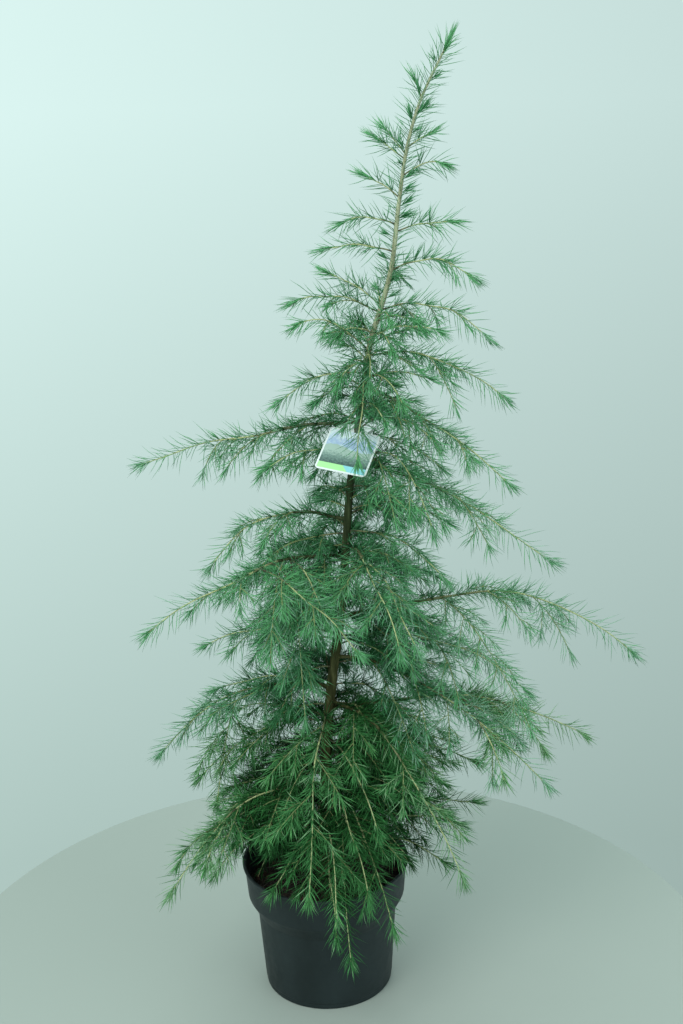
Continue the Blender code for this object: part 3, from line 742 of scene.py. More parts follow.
def growTree():
    chance = random.Random(growth["seed"])
    stems = []
    for shoot in boughs + sideShoots + fineShoots:
        # shoots at the back are dealt darker tones than those at the front and sides: painted shade
        front = math.sin(math.radians(shoot.azimuth)) < 0.2
        tone = chance.choice((2, 2, 3)) if front else chance.choice((1, 2))
        stems.append(stemOf(shoot, tone, bough=shoot in boughs, beforeCard=growth["beforeCard"]))
    for shoot in offShoots:
        parent = shootLine(next(other for other in boughs + sideShoots if other.name == shoot.name))
        stems.append(stemOf(shoot, 3, parent[round(shoot.height * (len(parent) - 1))]))
    thin = np.linspace(growth["innerRadius"], growth["tipRadius"], growth["points"])
    numbers = itertools.count()
    for row in innerShoots:
        for i in range(row[0]):
            shoot = innerShoot(next(numbers), i, chance, *row)
            if not any(low < shoot.height < high and left < shoot.azimuth < right
                       for low, high, left, right in openFront):
                # the inner shoots are dealt dark tones: painted shade inside the crown
                stems.append(stemOf(shoot, chance.choice((1, 1, 2)), radius=thin))
    heights = np.linspace(growth["leaderFoot"], trunk["tip"], 60)
    line = np.concatenate([trunkAxis(heights), [leaderBud]])
    leader = Stem(line, np.append(curve(trunk["girth"], heights), fineTwigs["radius"]), "top", 3, -1)
    for parent in list(stems):
        x, y, z = parent.line[-1]
        hanging = y < growth["plainFront"] and z < growth["plainBelow"] and x > growth["plainBeside"]
        beside = z < growth["lowTop"] and x > 0 and not hanging
        side = branchOff(parent, sideTwigs, chance, growth["plainSpacing"] if hanging else 1,
                         growth["lowShare"] if beside else 1)
        stems += side
        for twig in side:
            if arcOf(twig.line)[-1] > growth["fineFrom"]:
                stems += branchOff(twig, fineTwigs, chance)
    return stems, leader


def needlesOn(stem, dice):  # base, heading, length and tone of each needle on a stem
    length = arcOf(stem.line)[-1]
    onShoot, atMost, onTwig = needle["first"]
    first = min(onShoot, atMost * length) if stem.order == 0 else onTwig
    spacing = needle["spacing"] * needle["spacings"][stem.order + 1]
    arcs = np.arange(first, length, spacing)
    arcs = np.clip(arcs + dice.normal(0, needle["spacingJitter"] * spacing, len(arcs)), 0, length)
    ahead, level, upward = framesAt(stem.line, arcs)
    fromTip = length - arcs
    turn = np.arange(len(arcs)) * math.radians(needle["turn"])
    turn = turn + dice.normal(0, needle["turnJitter"], len(arcs))
    lean = np.radians(curve(needle["leans"], fromTip) + dice.normal(0, needle["leanSpread"], len(arcs)))
    heading = unit(between(lean, ahead, between(turn, level, upward)))
    heading[:, 2] -= needle["droop"] * dice.uniform(*needle["droopSpread"], len(arcs))
    long = dice.uniform(*needle["length"], len(arcs)) * curve(needle["shortAtTip"], fromTip)
    if stem.order == fineTwigs["order"]:
        long = long * needle["fineLength"]
    tone = np.full(len(arcs), stem.tone)
    for reach, share in needle["newTips"]:
        tone = tone + (fromTip < reach) * (dice.random(len(arcs)) < share)
    base = along(stem.line, arcs)
    return base, unit(heading), long, shaded(base, tone, dice)


def shaded(base, tone, dice):  # the finish of each needle: painted shade near the trunk and low down, painted light high up and far out, and a share of pale painted highlights
    highlightTone = len(needleLitAndShadedTones) - 1
    away, height = fromTrunk(base), base[:, 2]
    # painted shade: a tone darker within each reach of the trunk, below its height
    paintedShade = sum(
        (away < reach * dice.uniform(*needle["edgeSpread"], len(base))) & (height < top)
        for reach, top in needle["darker"]
    )
    # painted light: tones paler by height and by reach from the trunk
    shift = curve(needle["paler"], height) + curve(needle["paintedLightOut"], away)
    dealt = np.clip(np.floor(tone + shift + dice.random(len(base))) - paintedShade, 0, highlightTone - 1)
    beside = curve(needle["highlightBeside"], np.abs(base[:, 0]))
    share = curve(needle["highlightShare"], away) * np.maximum(curve(needle["highlightUp"], height), beside)
    # pale painted highlight on a share of the lighter needles, more of them far out, high up and to the sides
    pale = (dealt > 2) & (dice.random(len(base)) < share)
    return np.where(pale, highlightTone, dealt).astype(np.int32)


def sparse(part, dice, least=0.0):  # thins the needles high up and far out
    away, height = fromTrunk(part[0]), part[0][:, 2]
    share = curve(needle["thinUp"], height) * curve(needle["thinOut"], away)
    overMouth = (height < needle["mouthTop"]) & (away < needle["mouthReach"])
    share = share * np.where(overMouth, needle["thinMouth"], 1)
    keep = dice.random(len(away)) < np.maximum(share, least)
    return [column[keep] for column in part]


def fanned(ahead, spread, count, dice):  # headings strewn round one
    return unit(unit(dice.normal(0, 1, (count, 3))) * dice.uniform(0.05, spread, count)[:, None] + ahead)


def brushOn(stem, dice):  # the bright fan of needles at a twig's tip
    ahead, tip, kind = headings(stem.line)[-1], stem.line[-1], stem.order + 1
    full, least = needle["brushFull"]
    count = int(needle["brushNeedles"][kind] * np.clip(arcOf(stem.line)[-1] / full, least, 1))
    spread = needle["brushSpread"][kind] * (0.5 if stem.region == "top" else 1.0)
    back = dice.uniform(0, needle["brushDepth"], count)[:, None]
    heading = fanned(ahead, spread, count, dice)
    long = dice.uniform(*needle["brushLength"], count) * needle["brushLengths"][kind]
    bright = needle["brushBright"][stem.order > 0]
    tone = stem.tone + (dice.random(count) < bright) + (dice.random(count) < bright)
    base = tip - back * ahead
    # a brush high up is dealt a tone paler: painted light
    return base, heading, long, shaded(base, tone + (tip[2] > needle["paintedLightAbove"]), dice)


def tuftsOnLeader(dice):  # the buds up the leader, each with a bright tuft
    found = []
    for height, azimuth, lean, count, length in leaderTufts:
        level, tilt, height = levelAt(azimuth), math.radians(lean), height / 1000
        out = math.sin(tilt) * level + np.array([0, 0, math.cos(tilt)])
        heading = fanned(out, needle["tuftSpread"], count, dice)
        bud = trunkAxis(height) + level * curve(trunk["girth"], height)
        base = bud + dice.uniform(0, needle["tuftDepth"], count)[:, None] * out
        long = length / 1000 * dice.uniform(*needle["tuftLength"], count)
        found.append((base, heading, long, 4 + (dice.random(count) < 0.5)))
    return [np.concatenate(column) for column in zip(*found)]


def spursOn(stem, dice):  # the rosettes that older wood carries
    end = needle["spurShare"][stem.order] * arcOf(stem.line)[-1]
    arcs = np.arange(needle["spurStart"], end, needle["spurSpacing"])
    arcs = arcs + dice.normal(0, 0.003, len(arcs))
    ahead, level, upward = framesAt(stem.line, arcs)
    turn = dice.uniform(*needle["spurTurn"], len(arcs))
    out = unit(between(turn, level, upward) + needle["spurAhead"] * ahead)
    count = needle["spurNeedles"]
    base = np.repeat(along(stem.line, arcs) + 0.002 * out, count, axis=0)
    spread = unit(dice.normal(0, 1, (len(base), 3)))
    heading = unit(np.repeat(out, count, axis=0) + needle["spurSpread"] * spread)
    long = dice.uniform(*needle["spurLength"], len(base))
    tone = stem.tone + np.repeat(dice.integers(-1, 2, len(arcs)), count)
    return base, heading, long, shaded(base, tone, dice)


# Geometry Nodes trees

def newTree(name, *inputs):  # inputs: (name, kind, default where there is one)
    tree = bpy.data.node_groups.new(name, "GeometryNodeTree")
    tree.interface.new_socket("Geometry", in_out="OUTPUT", socket_type="NodeSocketGeometry")
    for label, kind, *default in (("Geometry", "Geometry"), *inputs):
        socket = tree.interface.new_socket(label, in_out="INPUT", socket_type="NodeSocket" + kind)
        for value in default:
            socket.default_value = value
    return tree, tree.nodes.new("NodeGroupInput").outputs


def attributeOf(tree, name, kind):
    return result(tree, "GeometryNodeInputNamedAttribute", {"Name": name}, data_type=kind)


def endTree(tree, geometry, attribute, finishes):  # each face takes the finish that its attribute numbers
    geometry = result(tree, "GeometryNodeRealizeInstances", {"Geometry": geometry})
    deal = attributeOf(tree, attribute, "INT")
    for number, finish in enumerate(finishes):
        same = result(tree, "FunctionNodeCompare", {2: deal, 3: number}, data_type="INT", operation="EQUAL")
        values = {"Geometry": geometry, "Selection": same, "Material": finish}
        geometry = result(tree, "GeometryNodeSetMaterial", values)
    addNode(tree, "NodeGroupOutput", {"Geometry": geometry})
    return tree


def needleTree(finishes):
    tree, given = newTree("needles on twigs", ("Half width", "Float", needle["halfWidth"]),
                          ("Needle", "Object"), ("Seed", "Int", 3))
    wide, long = given["Half width"], attributeOf(tree, "long", "FLOAT")
    heading = attributeOf(tree, "heading", "FLOAT_VECTOR")
    shape = addNode(tree, "GeometryNodeObjectInfo", {"Object": given["Needle"], "As Instance": True})
    placed = result(tree, "GeometryNodeInstanceOnPoints", {
        "Points": given["Geometry"],
        "Instance": shape.outputs["Geometry"],
        "Rotation": result(tree, "FunctionNodeAlignRotationToVector", {"Vector": heading}, axis="Z"),
        "Scale": result(tree, "ShaderNodeCombineXYZ", {"X": wide, "Y": wide, "Z": long}),
    })
    values = {3: 2 * math.pi, "Seed": given["Seed"]}
    roll = addNode(tree, "FunctionNodeRandomValue", values, data_type="FLOAT")
    euler = result(tree, "ShaderNodeCombineXYZ", {"Z": roll.outputs[1]})
    rolled = result(tree, "GeometryNodeRotateInstances", {"Instances": placed, "Rotation": euler})
    return endTree(tree, rolled, "tone", finishes)


def twigTree(finishes):
    tree, given = newTree("bark on twigs", ("Sides", "Int", 5))
    thick = attributeOf(tree, "thick", "FLOAT")
    lines = result(tree, "GeometryNodeMeshToCurve", {"Mesh": given["Geometry"]})
    ring = result(tree, "GeometryNodeCurvePrimitiveCircle", {"Resolution": given["Sides"], "Radius": 1.0})
    values = {"Curve": lines, "Profile Curve": ring, "Scale": thick, "Fill Caps": True}
    return endTree(tree, result(tree, "GeometryNodeCurveToMesh", values), "age", finishes)


def growMesh(name, source, tree, **inputs):  # runs a tree on an object, and keeps the plain mesh
    modifier = source.modifiers.new("Grow", "NODES")
    modifier.node_group = tree
    for item in tree.interface.items_tree:
        if item.in_out == "INPUT" and item.name in inputs:
            modifier[item.identifier] = inputs[item.name]
    graph = bpy.context.evaluated_depsgraph_get()
    mesh = bpy.data.meshes.new_from_object(source.evaluated_get(graph), depsgraph=graph)
    bpy.data.objects.remove(source)
    mesh.name = name
    for attribute in [a.name for a in mesh.attributes]:
        if attribute in ("heading", "long", "tone", "thick", "age"):
            mesh.attributes.remove(mesh.attributes[attribute])
    mesh.shade_smooth()
    return addThing(name, mesh)


def pointsObject(name, points, edges=(), **attributes):  # bare points or lines that carry values
    mesh = bpy.data.meshes.new(name)
    mesh.vertices.add(len(points))
    mesh.vertices.foreach_set("co", np.asarray(points, np.float32).ravel())
    if len(edges):
        mesh.edges.add(len(edges))
        mesh.edges.foreach_set("vertices", np.asarray(edges, np.int32).ravel())
    for key, values in attributes.items():
        kind = "FLOAT_VECTOR" if values.ndim == 2 else ("INT" if values.dtype.kind == "i" else "FLOAT")
        flat = values.astype(np.int32 if kind == "INT" else np.float32).ravel()
        field = "vector" if values.ndim == 2 else "value"
        mesh.attributes.new(key, kind, "POINT").data.foreach_set(field, flat)
    return addThing(name, mesh)


def meshOf(name, verts, faces):
    mesh = bpy.data.meshes.new(name)
    mesh.from_pydata(verts, [], faces)
    return mesh


def circle(sides, shift=0.0):
    turns = (2 * math.pi * (k + shift) / sides for k in range(sides))
    return [(math.cos(turn), math.sin(turn)) for turn in turns]


def band(a, b, sides):  # faces between two rings of corners, which start at these numbers
    return [(a + k, a + (k + 1) % sides, b + (k + 1) % sides, b + k) for k in range(sides)]


def flipped(faces):
    return [(a, d, c, b) for a, b, c, d in faces]


def settled(solid, mesh):  # writes a solid to a mesh, with its faces turned outward
    bmesh.ops.recalc_face_normals(solid, faces=solid.faces)
    solid.to_mesh(mesh)
    solid.free()
    return mesh


def outward(mesh):
    solid = bmesh.new()
    solid.from_mesh(mesh)
    return settled(solid, mesh)


def needleShape():  # a slim three-sided needle, a little bent, one metre long and one metre in half width
    foot, bend, bendHeight = 0.8, 2.2, 0.55
    verts = [(foot * x, foot * y, 0) for x, y in circle(3)]
    verts += [(x + bend, y, bendHeight) for x, y in circle(3)] + [(0, 0, 1)]
    faces = [(2, 1, 0)]
    for i in range(3):
        j = (i + 1) % 3
        faces += [(i, j, j + 3), (i, j + 3, i + 3), (i + 3, j + 3, 6)]
    return addThing("needle shape", meshOf("needle shape", verts, faces))


def finishPiece(thing, nodes=(), finishes=()):
    for finish in finishes:
        thing.data.materials.append(finish)
    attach(thing, "root")
    if nodes:
        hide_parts(*nodes)


def needleParts(stems, region, leader, dice):
    parts = []
    for stem in stems:
        parts.append(sparse(needlesOn(stem, dice), dice, needle["least"][stem.order + 1]))
        parts.append(brushOn(stem, dice))
        if stem.order in (0, 1):
            parts.append(sparse(spursOn(stem, dice), dice))
    if region == leader.region:
        parts.append(tuftsOnLeader(dice))
    return (np.concatenate(column) for column in zip(*parts))


def barkAge(stem):  # along a stem, which of the twig barks it wears
    share = np.linspace(0, 1, len(stem.line))
    if stem.order > 0:
        return np.full(len(share), len(twigBarks) - 1)
    steps = growth["barkSteps"][stem.bough]
    # a shoot dealt one of the dark tones (painted shade) wears the darker twig bark at its outer part rather
    # than straw
    return np.digitize(share, steps) + (share > steps[1]) * (stem.tone < 2)


def addFoliage(stems, leader):
    dice = np.random.default_rng(growth["seed"])
    needleSet = needleTree(needleFinishes())
    lowSet = needleTree(needleFinishes("low ", needle["lowCool"]))
    twigSet = twigTree([barkFinish(*row) for row in twigBarks])
    shape = needleShape()
    for region, _ in regions:
        here = [stem for stem in stems if stem.region == region]
        withLeader = here + [leader] * (region == leader.region)
        base, heading, long, tone = needleParts(withLeader, region, leader, dice)
        tip = base + heading * long[:, None]
        middle = base + 0.5 * heading * long[:, None]
        keep = ~(barred(tip) | barred(middle) | barred(base) | outsideBox(tip))
        points = pointsObject("buds", base[keep], heading=heading[keep], long=long[keep], tone=tone[keep])
        tinted = lowSet if region in ("foot", "skirt") else needleSet
        needles = growMesh("needles_" + region, points, tinted, Needle=shape, Seed=len(region))
        masses = [
            "foliage_" + shoot.name for shoot in boughs + sideShoots if regionOf(shoot.height) == region
        ]
        finishPiece(needles, masses)

        firsts = np.cumsum([0] + [len(stem.line) for stem in here])
        edges = [np.stack([np.arange(a, b - 1), np.arange(a + 1, b)], -1) for a, b in zip(firsts, firsts[1:])]
        lines, thick = (np.concatenate([stem[k] for stem in here]) for k in (0, 1))
        age = np.concatenate([barkAge(stem) for stem in here])
        wires = pointsObject("twig lines", lines, np.concatenate(edges), thick=thick, age=age)
        finishPiece(growMesh("twigs_" + region, wires, twigSet, Sides=5))
        print(f"{region}: {keep.sum()} needles, {len(here)} stems")
    bpy.data.objects.remove(shape)


# trunk and bare boughs, with relief in their bark

bark = {
    "sides": 28,
    "ringEvery": 0.0035,
    "sunk": 0.004,  # into the soil
    "ridges": ((0.172, 0.11), (0.8, 0.09), (1.385, 0.03)),
    "around": 2.6,
    "finer": (2.7, 0.5),  # scale and share of the smaller folds
    "knots": 0.6,
    "along": 34,
    "knotsAlong": 22,
    "boughSides": 12,
    "boughRidge": 0.10,
    "boughShare": 0.36,  # of a bough, from its root
    "boughMore": 0.0002,
    "collar": (0.45, 0.012),
}


def barkTube(line, radius, sides, ridge, seed):
    arc = arcOf(line)
    count = max(6, int(arc[-1] / bark["ringEvery"]))
    arcs = np.linspace(0, arc[-1], count)
    middle = along(line, arcs)
    girth, deep = np.interp(arcs, arc, radius), np.interp(arcs, arc, ridge)
    _, level, upward = frames(middle)
    finer, finerShare = bark["finer"]
    verts, faces = [], []
    for i in range(count):
        for x, y in circle(sides):
            spot = Vector((x * bark["around"], y * bark["around"], arcs[i] * bark["along"] + seed))
            fold = noise.noise(spot) + finerShare * noise.noise(spot * finer)
            knot = noise.noise(Vector((x + seed, y, arcs[i] * bark["knotsAlong"])))
            out = x * level[i] + y * upward[i]
            swollen = 1 + deep[i] * fold + bark["knots"] * deep[i] * knot
            verts.append(tuple(middle[i] + out * girth[i] * swollen))
    for i in range(count - 1):
        faces += band(i * sides, (i + 1) * sides, sides)
    faces += [tuple(range(sides))[::-1], tuple(range((count - 1) * sides, count * sides))]
    return verts, faces


def addBark():
    heights = np.linspace(trunk["foot"] - bark["sunk"], trunk["tip"], 200)
    girth, ridge = curve(trunk["girth"], heights), curve(bark["ridges"], heights)
    tubes = [(trunkAxis(heights), girth, bark["sides"], ridge, 0.0)]
    swell, fade = bark["collar"]
    for number, shoot in enumerate(boughs):
        branch = shootLine(shoot)
        share = np.linspace(0, 1, len(branch))
        bare = share < bark["boughShare"]
        radius = shootRadius("bough", shoot.reach, share) + bark["boughMore"]
        collar = 1 + swell * np.exp(-arcOf(branch) / fade)
        ridge = bark["boughRidge"] * np.ones(bare.sum())
        tubes.append((branch[bare], (radius * collar)[bare], bark["boughSides"], ridge, number + 3.0))
    verts, faces = [], []
    for tube in tubes:
        first = len(verts)
        added, rims = barkTube(*tube)
        verts += added
        faces += [tuple(index + first for index in rim) for rim in rims]
    mesh = meshOf("bark", verts, faces)
    mesh.shade_smooth()
    nodes = ["trunk"] + ["bough_" + shoot.name for shoot in boughs]
    finishPiece(addThing("bark", mesh), nodes, [trunkFinish()])
    print("bark:", len(faces), "faces")


# pot, soil, label

def turned(name, profile, sides):  # a closed solid from a profile that starts and ends on the axis
    verts = [(0, 0, profile[0][1])]
    for radius, height in profile[1:-1]:
        verts += [(radius * x, radius * y, height) for x, y in circle(sides)]
    last = len(verts)
    verts.append((0, 0, profile[-1][1]))
    faces = [(0, 1 + (k + 1) % sides, 1 + k) for k in range(sides)]
    for a in range(1, last - sides, sides):
        faces += band(a, a + sides, sides)
    a = last - sides
    faces += [(last, a + k, a + (k + 1) % sides) for k in range(sides)]
    return outward(meshOf(name, verts, faces))


def rounded(profile, radius, steps=4):  # the same profile with its corners eased
    points = [Vector(p) for p in profile]
    eased = [tuple(points[0])]
    for before, corner, after in zip(points, points[1:], points[2:]):
        size = min(radius, 0.45 * (corner - before).length, 0.45 * (after - corner).length)
        a = corner + (before - corner).normalized() * size
        b = corner + (after - corner).normalized() * size
        for t in (step / steps for step in range(steps + 1)):
            eased.append(tuple((1 - t) ** 2 * a + 2 * t * (1 - t) * corner + t * t * b))
    eased.append(tuple(points[-1]))
    return eased


def addPot():
    wall, top, base, recess = pot["wall"], pot["height"], pot["base"], pot["recess"]
    inside = [
        (0.0, pot["floor"]),
        (base - wall, pot["floor"]),
        (pot["shoulder"] - wall, pot["shoulderHeight"]),
        (pot["collarFoot"] - wall, pot["collarFootHeight"] + 0.001),
        (pot["collarTop"] - wall, top),
    ]
    outside = [
        (pot["rimRadius"], top),
        (pot["rimRadius"], top - pot["lip"]),
        (pot["collarTop"], top - pot["lip"] - pot["lipFall"]),
        (pot["collarFoot"], pot["collarFootHeight"]),
        (pot["shoulder"], pot["shoulderHeight"]),
        (base + pot["baseTop"][0], pot["baseTop"][1]),
        (base, pot["baseEdge"]),
        (base, 0.0),
        (base - pot["footRing"][0], 0.0),
        (base - pot["footRing"][1], recess),
        (0.0, recess),
    ]
    mesh = turned("pot_shell", rounded(inside + outside, pot["corner"]), pot["sides"])
    mesh.shade_smooth()
    finishPiece(addThing("pot_shell", mesh), ["pot"], [potFinish()])
    print("pot shell:", len(mesh.polygons), "faces")


def addSoil():
    sides, rings, crown = soil["sides"], soil["rings"], soil["crown"]
    brim = pot["collarTop"] - pot["wall"] - soil["gap"]
    atWall, below = soil["tuckIn"]
    verts, faces = [], []
    for i in range(1, rings + 1):
        radius = brim * i / rings
        for x, y in circle(sides, 0.5 * (i % 2)):
            x, y = radius * x, radius * y
            height = soil["top"] - soil["fall"] * max(0, radius - crown) / (brim - crown)
            spot = Vector((x, y, 0)) * soil["lumpScale"]
            lumps = (share * noise.noise(spot * scale) for scale, share in soil["lumpsEvery"])
            height += soil["lumps"] * sum(lumps)
            if i == rings:
                x, y = atWall * x, atWall * y
            verts.append((x, y, min(height, soil["most"])))
    edge, top = len(verts) - sides, len(verts)
    verts.append((0, 0, soil["top"]))
    faces += [(top, k, (k + 1) % sides) for k in range(sides)]
    for a in range(0, edge, sides):
        faces += flipped(band(a, a + sides, sides))
    verts += [(below * x, below * y, soil["foot"]) for x, y, _ in verts[edge:top]]
    faces += flipped(band(edge, top + 1, sides))
    faces.append(tuple(range(top + 1, top + 1 + sides))[::-1])
    mesh = meshOf("soil_bed", verts, faces)
    mesh.shade_smooth()
    finishPiece(addThing("soil_bed", mesh), ["soil"], [soilFinish()])
    print("soil bed:", len(faces), "faces")


litter = {
    "seed": 8,
    "needles": 420,
    "chips": 150,
    "needleLength": (0.016, 0.034),
    "needleLift": 0.0045,
    "chipLength": (0.006, 0.017),
    "chipLift": 0.0025,
    "chipHalfWidth": 0.0032,
    "chipThickness": (0.22, 0.34),  # of a flake's half width, in turn round its rim
    "litterDepth": 0.003,
    "tilt": (-0.06, 0.22),
    "reach": 0.114,
    "fallen": (("dry needles", (0.060, 0.042, 0.024)), ("old needles", (0.030, 0.040, 0.026)),
               ("grey needles", (0.075, 0.075, 0.055))),
    "flakes": (
        ("red flake", 300.0, (0.030, 0.012, 0.008), (0.075, 0.030, 0.018), (0.13, 0.06, 0.04)),
        ("brown flake", 300.0, (0.020, 0.012, 0.008), (0.050, 0.030, 0.018), (0.10, 0.07, 0.04)),
        ("dark flake", 300.0, (0.010, 0.007, 0.005), (0.022, 0.016, 0.011), (0.05, 0.04, 0.03)),
    ),
}


def scattered(count, lengths, lift, dice):  # points on the soil, with nearly level headings
    away = litter["reach"] * np.sqrt(dice.random(count))
    turn = dice.uniform(0, 2 * math.pi, count)
    fall = np.clip((away - soil["crown"]) / (pot["collarTop"] - soil["crown"]), 0, 1)
    height = soil["top"] - soil["fall"] * fall + lift + dice.uniform(0, litter["litterDepth"], count)
    place = np.stack([away * np.cos(turn), away * np.sin(turn), height], -1)
    aim = dice.uniform(0, 2 * math.pi, count)
    heading = unit(np.stack([np.cos(aim), np.sin(aim), dice.uniform(*litter["tilt"], count)], -1))
    long = dice.uniform(*lengths, count)
    tip = place + heading * long[:, None]
    keep = np.linalg.norm(tip[:, :2], axis=1) < litter["reach"]
    tone = dice.integers(0, 3, keep.sum())
    return pointsObject("fallen", place[keep], heading=heading[keep], long=long[keep], tone=tone)


def chipShape():  # a flat flake of bark, a metre long and a metre in half width
    rim = ((-0.7, 0), (0.5, 0.04), (1.0, 0.35), (0.75, 0.85), (0.1, 1.0), (-0.9, 0.7))
    thick, count = litter["chipThickness"], len(rim)
    verts = [(x, side * thick[k % 2], z) for side in (-1, 1) for k, (x, z) in enumerate(rim)]
    faces = [tuple(range(count)), tuple(range(count, 2 * count))[::-1]] + flipped(band(0, count, count))
    return addThing("chip shape", outward(meshOf("chip shape", verts, faces)))


def strew(name, dice, shape, finishes, *how, **inputs):
    points = scattered(*how, dice)
    thing = growMesh(name, points, needleTree(finishes), Needle=shape, **inputs)
    bpy.data.objects.remove(shape)
    finishPiece(thing)
    return thing


def addLitter():  # fallen needles and flakes of bark on the soil
    dice = np.random.default_rng(litter["seed"])
    finishes = [newFinish(name, colour, 0.8) for name, colour in litter["fallen"]]
    how = (litter["needles"], litter["needleLength"], litter["needleLift"])
    strew("fallen_needles", dice, needleShape(), finishes, *how, Seed=5)
    finishes = [barkFinish(*row) for row in litter["flakes"]]
    how = (litter["chips"], litter["chipLength"], litter["chipLift"])
    wide = {"Half width": litter["chipHalfWidth"]}
    flakes = strew("bark_flakes", dice, chipShape(), finishes, *how, Seed=9, **wide)
    flakes.data.shade_flat()
    print("litter: fallen needles and flakes")


def cardFinish():  # a plain printed scene: pale sky over soft hills, and a two-colour band at the foot
    made = newFinish("printed card", (0.8, 0.85, 0.85), 0.28, Coat_Weight=0.4, Coat_Roughness=0.12)
    tree = made.node_tree
    place = result(tree, "ShaderNodeUVMap", uv_map="print")
    u, v, _ = addNode(tree, "ShaderNodeSeparateXYZ", {"Vector": place}).outputs

    def maths(operation, a, b=0.0):
        return result(tree, "ShaderNodeMath", {0: a, 1: b}, operation=operation)

    def grain(scale, detail):
        values = {"Vector": place, "Scale": scale, "Detail": detail}
        return result(tree, "ShaderNodeTexNoise", values)

    def strewn(noises, share):  # the height on the card, unsettled by a noise
        return maths("ADD", v, maths("MULTIPLY", maths("SUBTRACT", noises, 0.5), share))

    mottle = grain(9.0, 5.0)
    sky = ramp(tree, strewn(mottle, 0.7), (0.42, (0.62, 0.78, 0.80)), (0.66, (0.36, 0.50, 0.72)),
               (0.88, (0.72, 0.86, 0.90)))
    grass = ramp(tree, strewn(grain(26.0, 6.0), 0.42), (0.16, (0.060, 0.105, 0.100)),
                 (0.33, (0.17, 0.27, 0.24)), (0.46, (0.40, 0.54, 0.48)))
    wave = maths("MULTIPLY", maths("SINE", maths("MULTIPLY", u, 6.5)), 0.05)
    ridge = maths("ADD", maths("ADD", wave, 0.50), maths("MULTIPLY", mottle, 0.12))
    picture = blend(tree, maths("LESS_THAN", v, ridge), sky, grass)
    slope = maths("ADD", u, maths("MULTIPLY", v, 0.9))
    foot = blend(tree, maths("GREATER_THAN", slope, 0.66), (0.42, 0.82, 0.36, 1), (0.28, 0.66, 0.74, 1))
    picture = blend(tree, maths("LESS_THAN", v, 0.17), picture, foot)
    sideways, upright = (maths("MINIMUM", way, maths("SUBTRACT", 1.0, way)) for way in (u, v))
    rim = maths("LESS_THAN", maths("MINIMUM", sideways, upright), 0.035)
    return shade(made, Base_Color=blend(tree, rim, picture, (0.80, 0.86, 0.86, 1)))


def cardBackFinish():  # pale plastic, a little dusty
    dust = ((85.0, 6.0), ((0.3, (0.60, 0.66, 0.65)), (0.7, (0.76, 0.82, 0.82))), (0.32, 0.5))
    grain = ((1400.0, 2.0), (), (), (0.0001, 0.3))
    return layered("card back", (0.70, 0.76, 0.76), 0.4, dust, grain)


def cardOutline(inset):
    half, drop, corner = 0.5 * card["width"] - inset, card["height"] - inset, card["corner"]
    points = []
    for x, z, start in ((half, -inset, 0), (-half, -inset, 90), (-half, -drop, 180), (half, -drop, 270)):
        middle = (x - math.copysign(corner, x), z - corner if start < 180 else z + corner)
        for step in range(7):
            turn = math.radians(start + 15 * step)
            points.append((middle[0] + corner * math.cos(turn), middle[1] + corner * math.sin(turn)))
    return points


def addCard():
    plate = bmesh.new()
    layer = plate.loops.layers.uv.new("print")
    half, edge = card["thickness"] / 2, card["edge"]
    rims = []
    for inset, y in ((edge, -half), (0.0, -half + edge), (0.0, half - edge), (edge, half)):
        rims.append([plate.verts.new((x, y, z)) for x, z in cardOutline(inset)])
    front = plate.faces.new(rims[0])
    plate.faces.new(rims[-1][::-1])
    for first, second in zip(rims, rims[1:]):
        for i in range(len(first)):
            plate.faces.new((first[i - 1], first[i], second[i], second[i - 1]))
    for loop in front.loops:
        loop[layer].uv = (loop.vert.co.x / card["width"] + 0.5, 1 + loop.vert.co.z / card["height"])
    for face in plate.faces:
        face.material_index = 0 if face is front else 1
    bmesh.ops.transform(plate, matrix=cardPlace, verts=plate.verts)
    mesh = settled(plate, bpy.data.meshes.new("label_card"))
    finishPiece(addThing("label_card", mesh), ["label"], [cardFinish(), cardBackFinish()])


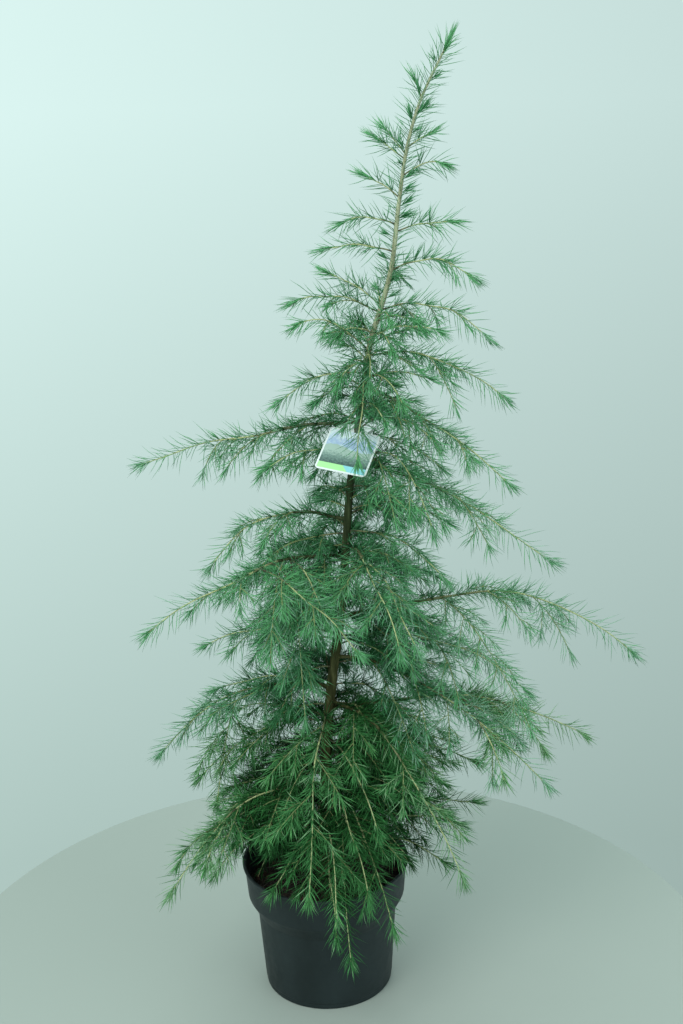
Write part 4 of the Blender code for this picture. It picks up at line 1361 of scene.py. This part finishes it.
def ribbon(strip, points, closed, across):  # a flat strip along these points
    corners, rows = ((1, 1), (-1, 1), (-1, -1), (1, -1)), []
    for i, point in enumerate(points):
        after = points[(i + 1) % len(points)] if closed or i + 1 < len(points) else point
        before = points[i - 1] if closed or i else point
        ahead = unit(after - before)
        wide = unit(np.cross(np.cross(ahead, across), ahead)) * 0.5 * card["strapWidth"]
        deep = unit(np.cross(ahead, wide)) * 0.5 * card["strapThickness"]
        rows.append([strip.verts.new(point + a * wide + b * deep) for a, b in corners])
    for first, second in zip(rows, rows[1:] + rows[:1] * closed):
        for k in range(4):
            strip.faces.new((first[k - 1], first[k], second[k], second[k - 1]))
    if not closed:
        strip.faces.new(rows[0])
        strip.faces.new(rows[-1])


def addStrap():  # a soft strip from the card's top edge, closed in a loop round the trunk
    axis = trunkAxis(card["strapHeight"])
    ring = curve(trunk["girth"], card["strapHeight"]) + card["strapRoom"] * card["strapThickness"]
    loopRows, tailRows = card["strapRows"]
    loop = [axis + np.array([ring * x, ring * y, 0.0]) for x, y in circle(loopRows)]
    start = np.array(cardPlace @ Vector(card["strapStart"]))
    end = axis + np.array([0, -ring, 0])
    share = np.linspace(0, 1, tailRows)[:, None]
    tail = start + share * (end - start) + np.array(card["strapSlack"]) * np.sin(math.pi * share)
    strip = bmesh.new()
    ribbon(strip, loop, True, np.array([0, 0, 1.0]))
    ribbon(strip, tail, False, np.array([1.0, 0, 0]))
    mesh = settled(strip, bpy.data.meshes.new("label_strap"))
    tones = ((0.3, (0.035, 0.060, 0.036)), (0.7, (0.070, 0.110, 0.068)))
    made = layered("strap", (0.05, 0.08, 0.05), 0.5, ((300.0,), tones, (0.4, 0.65)))
    finishPiece(addThing("label_strap", mesh), finishes=[made])
    print("label: card and strap")


def addFloor():
    sides, radius = stage["floorSides"], stage["floorRadius"]
    mesh = meshOf("floor", [(radius * x, radius * y, 0) for x, y in circle(sides)], [tuple(range(sides))])
    mesh.materials.append(newFinish("pale floor", stage["floorColour"], 0.85))
    addThing("floor", mesh)


addCamera()
addLights()
addAir()
addFloor()
stems, leader = growTree()
print("grown:", len(stems), "stems")
addFoliage(stems, leader)
addBark()
addPot()
addSoil()
addLitter()
addCard()
addStrap()
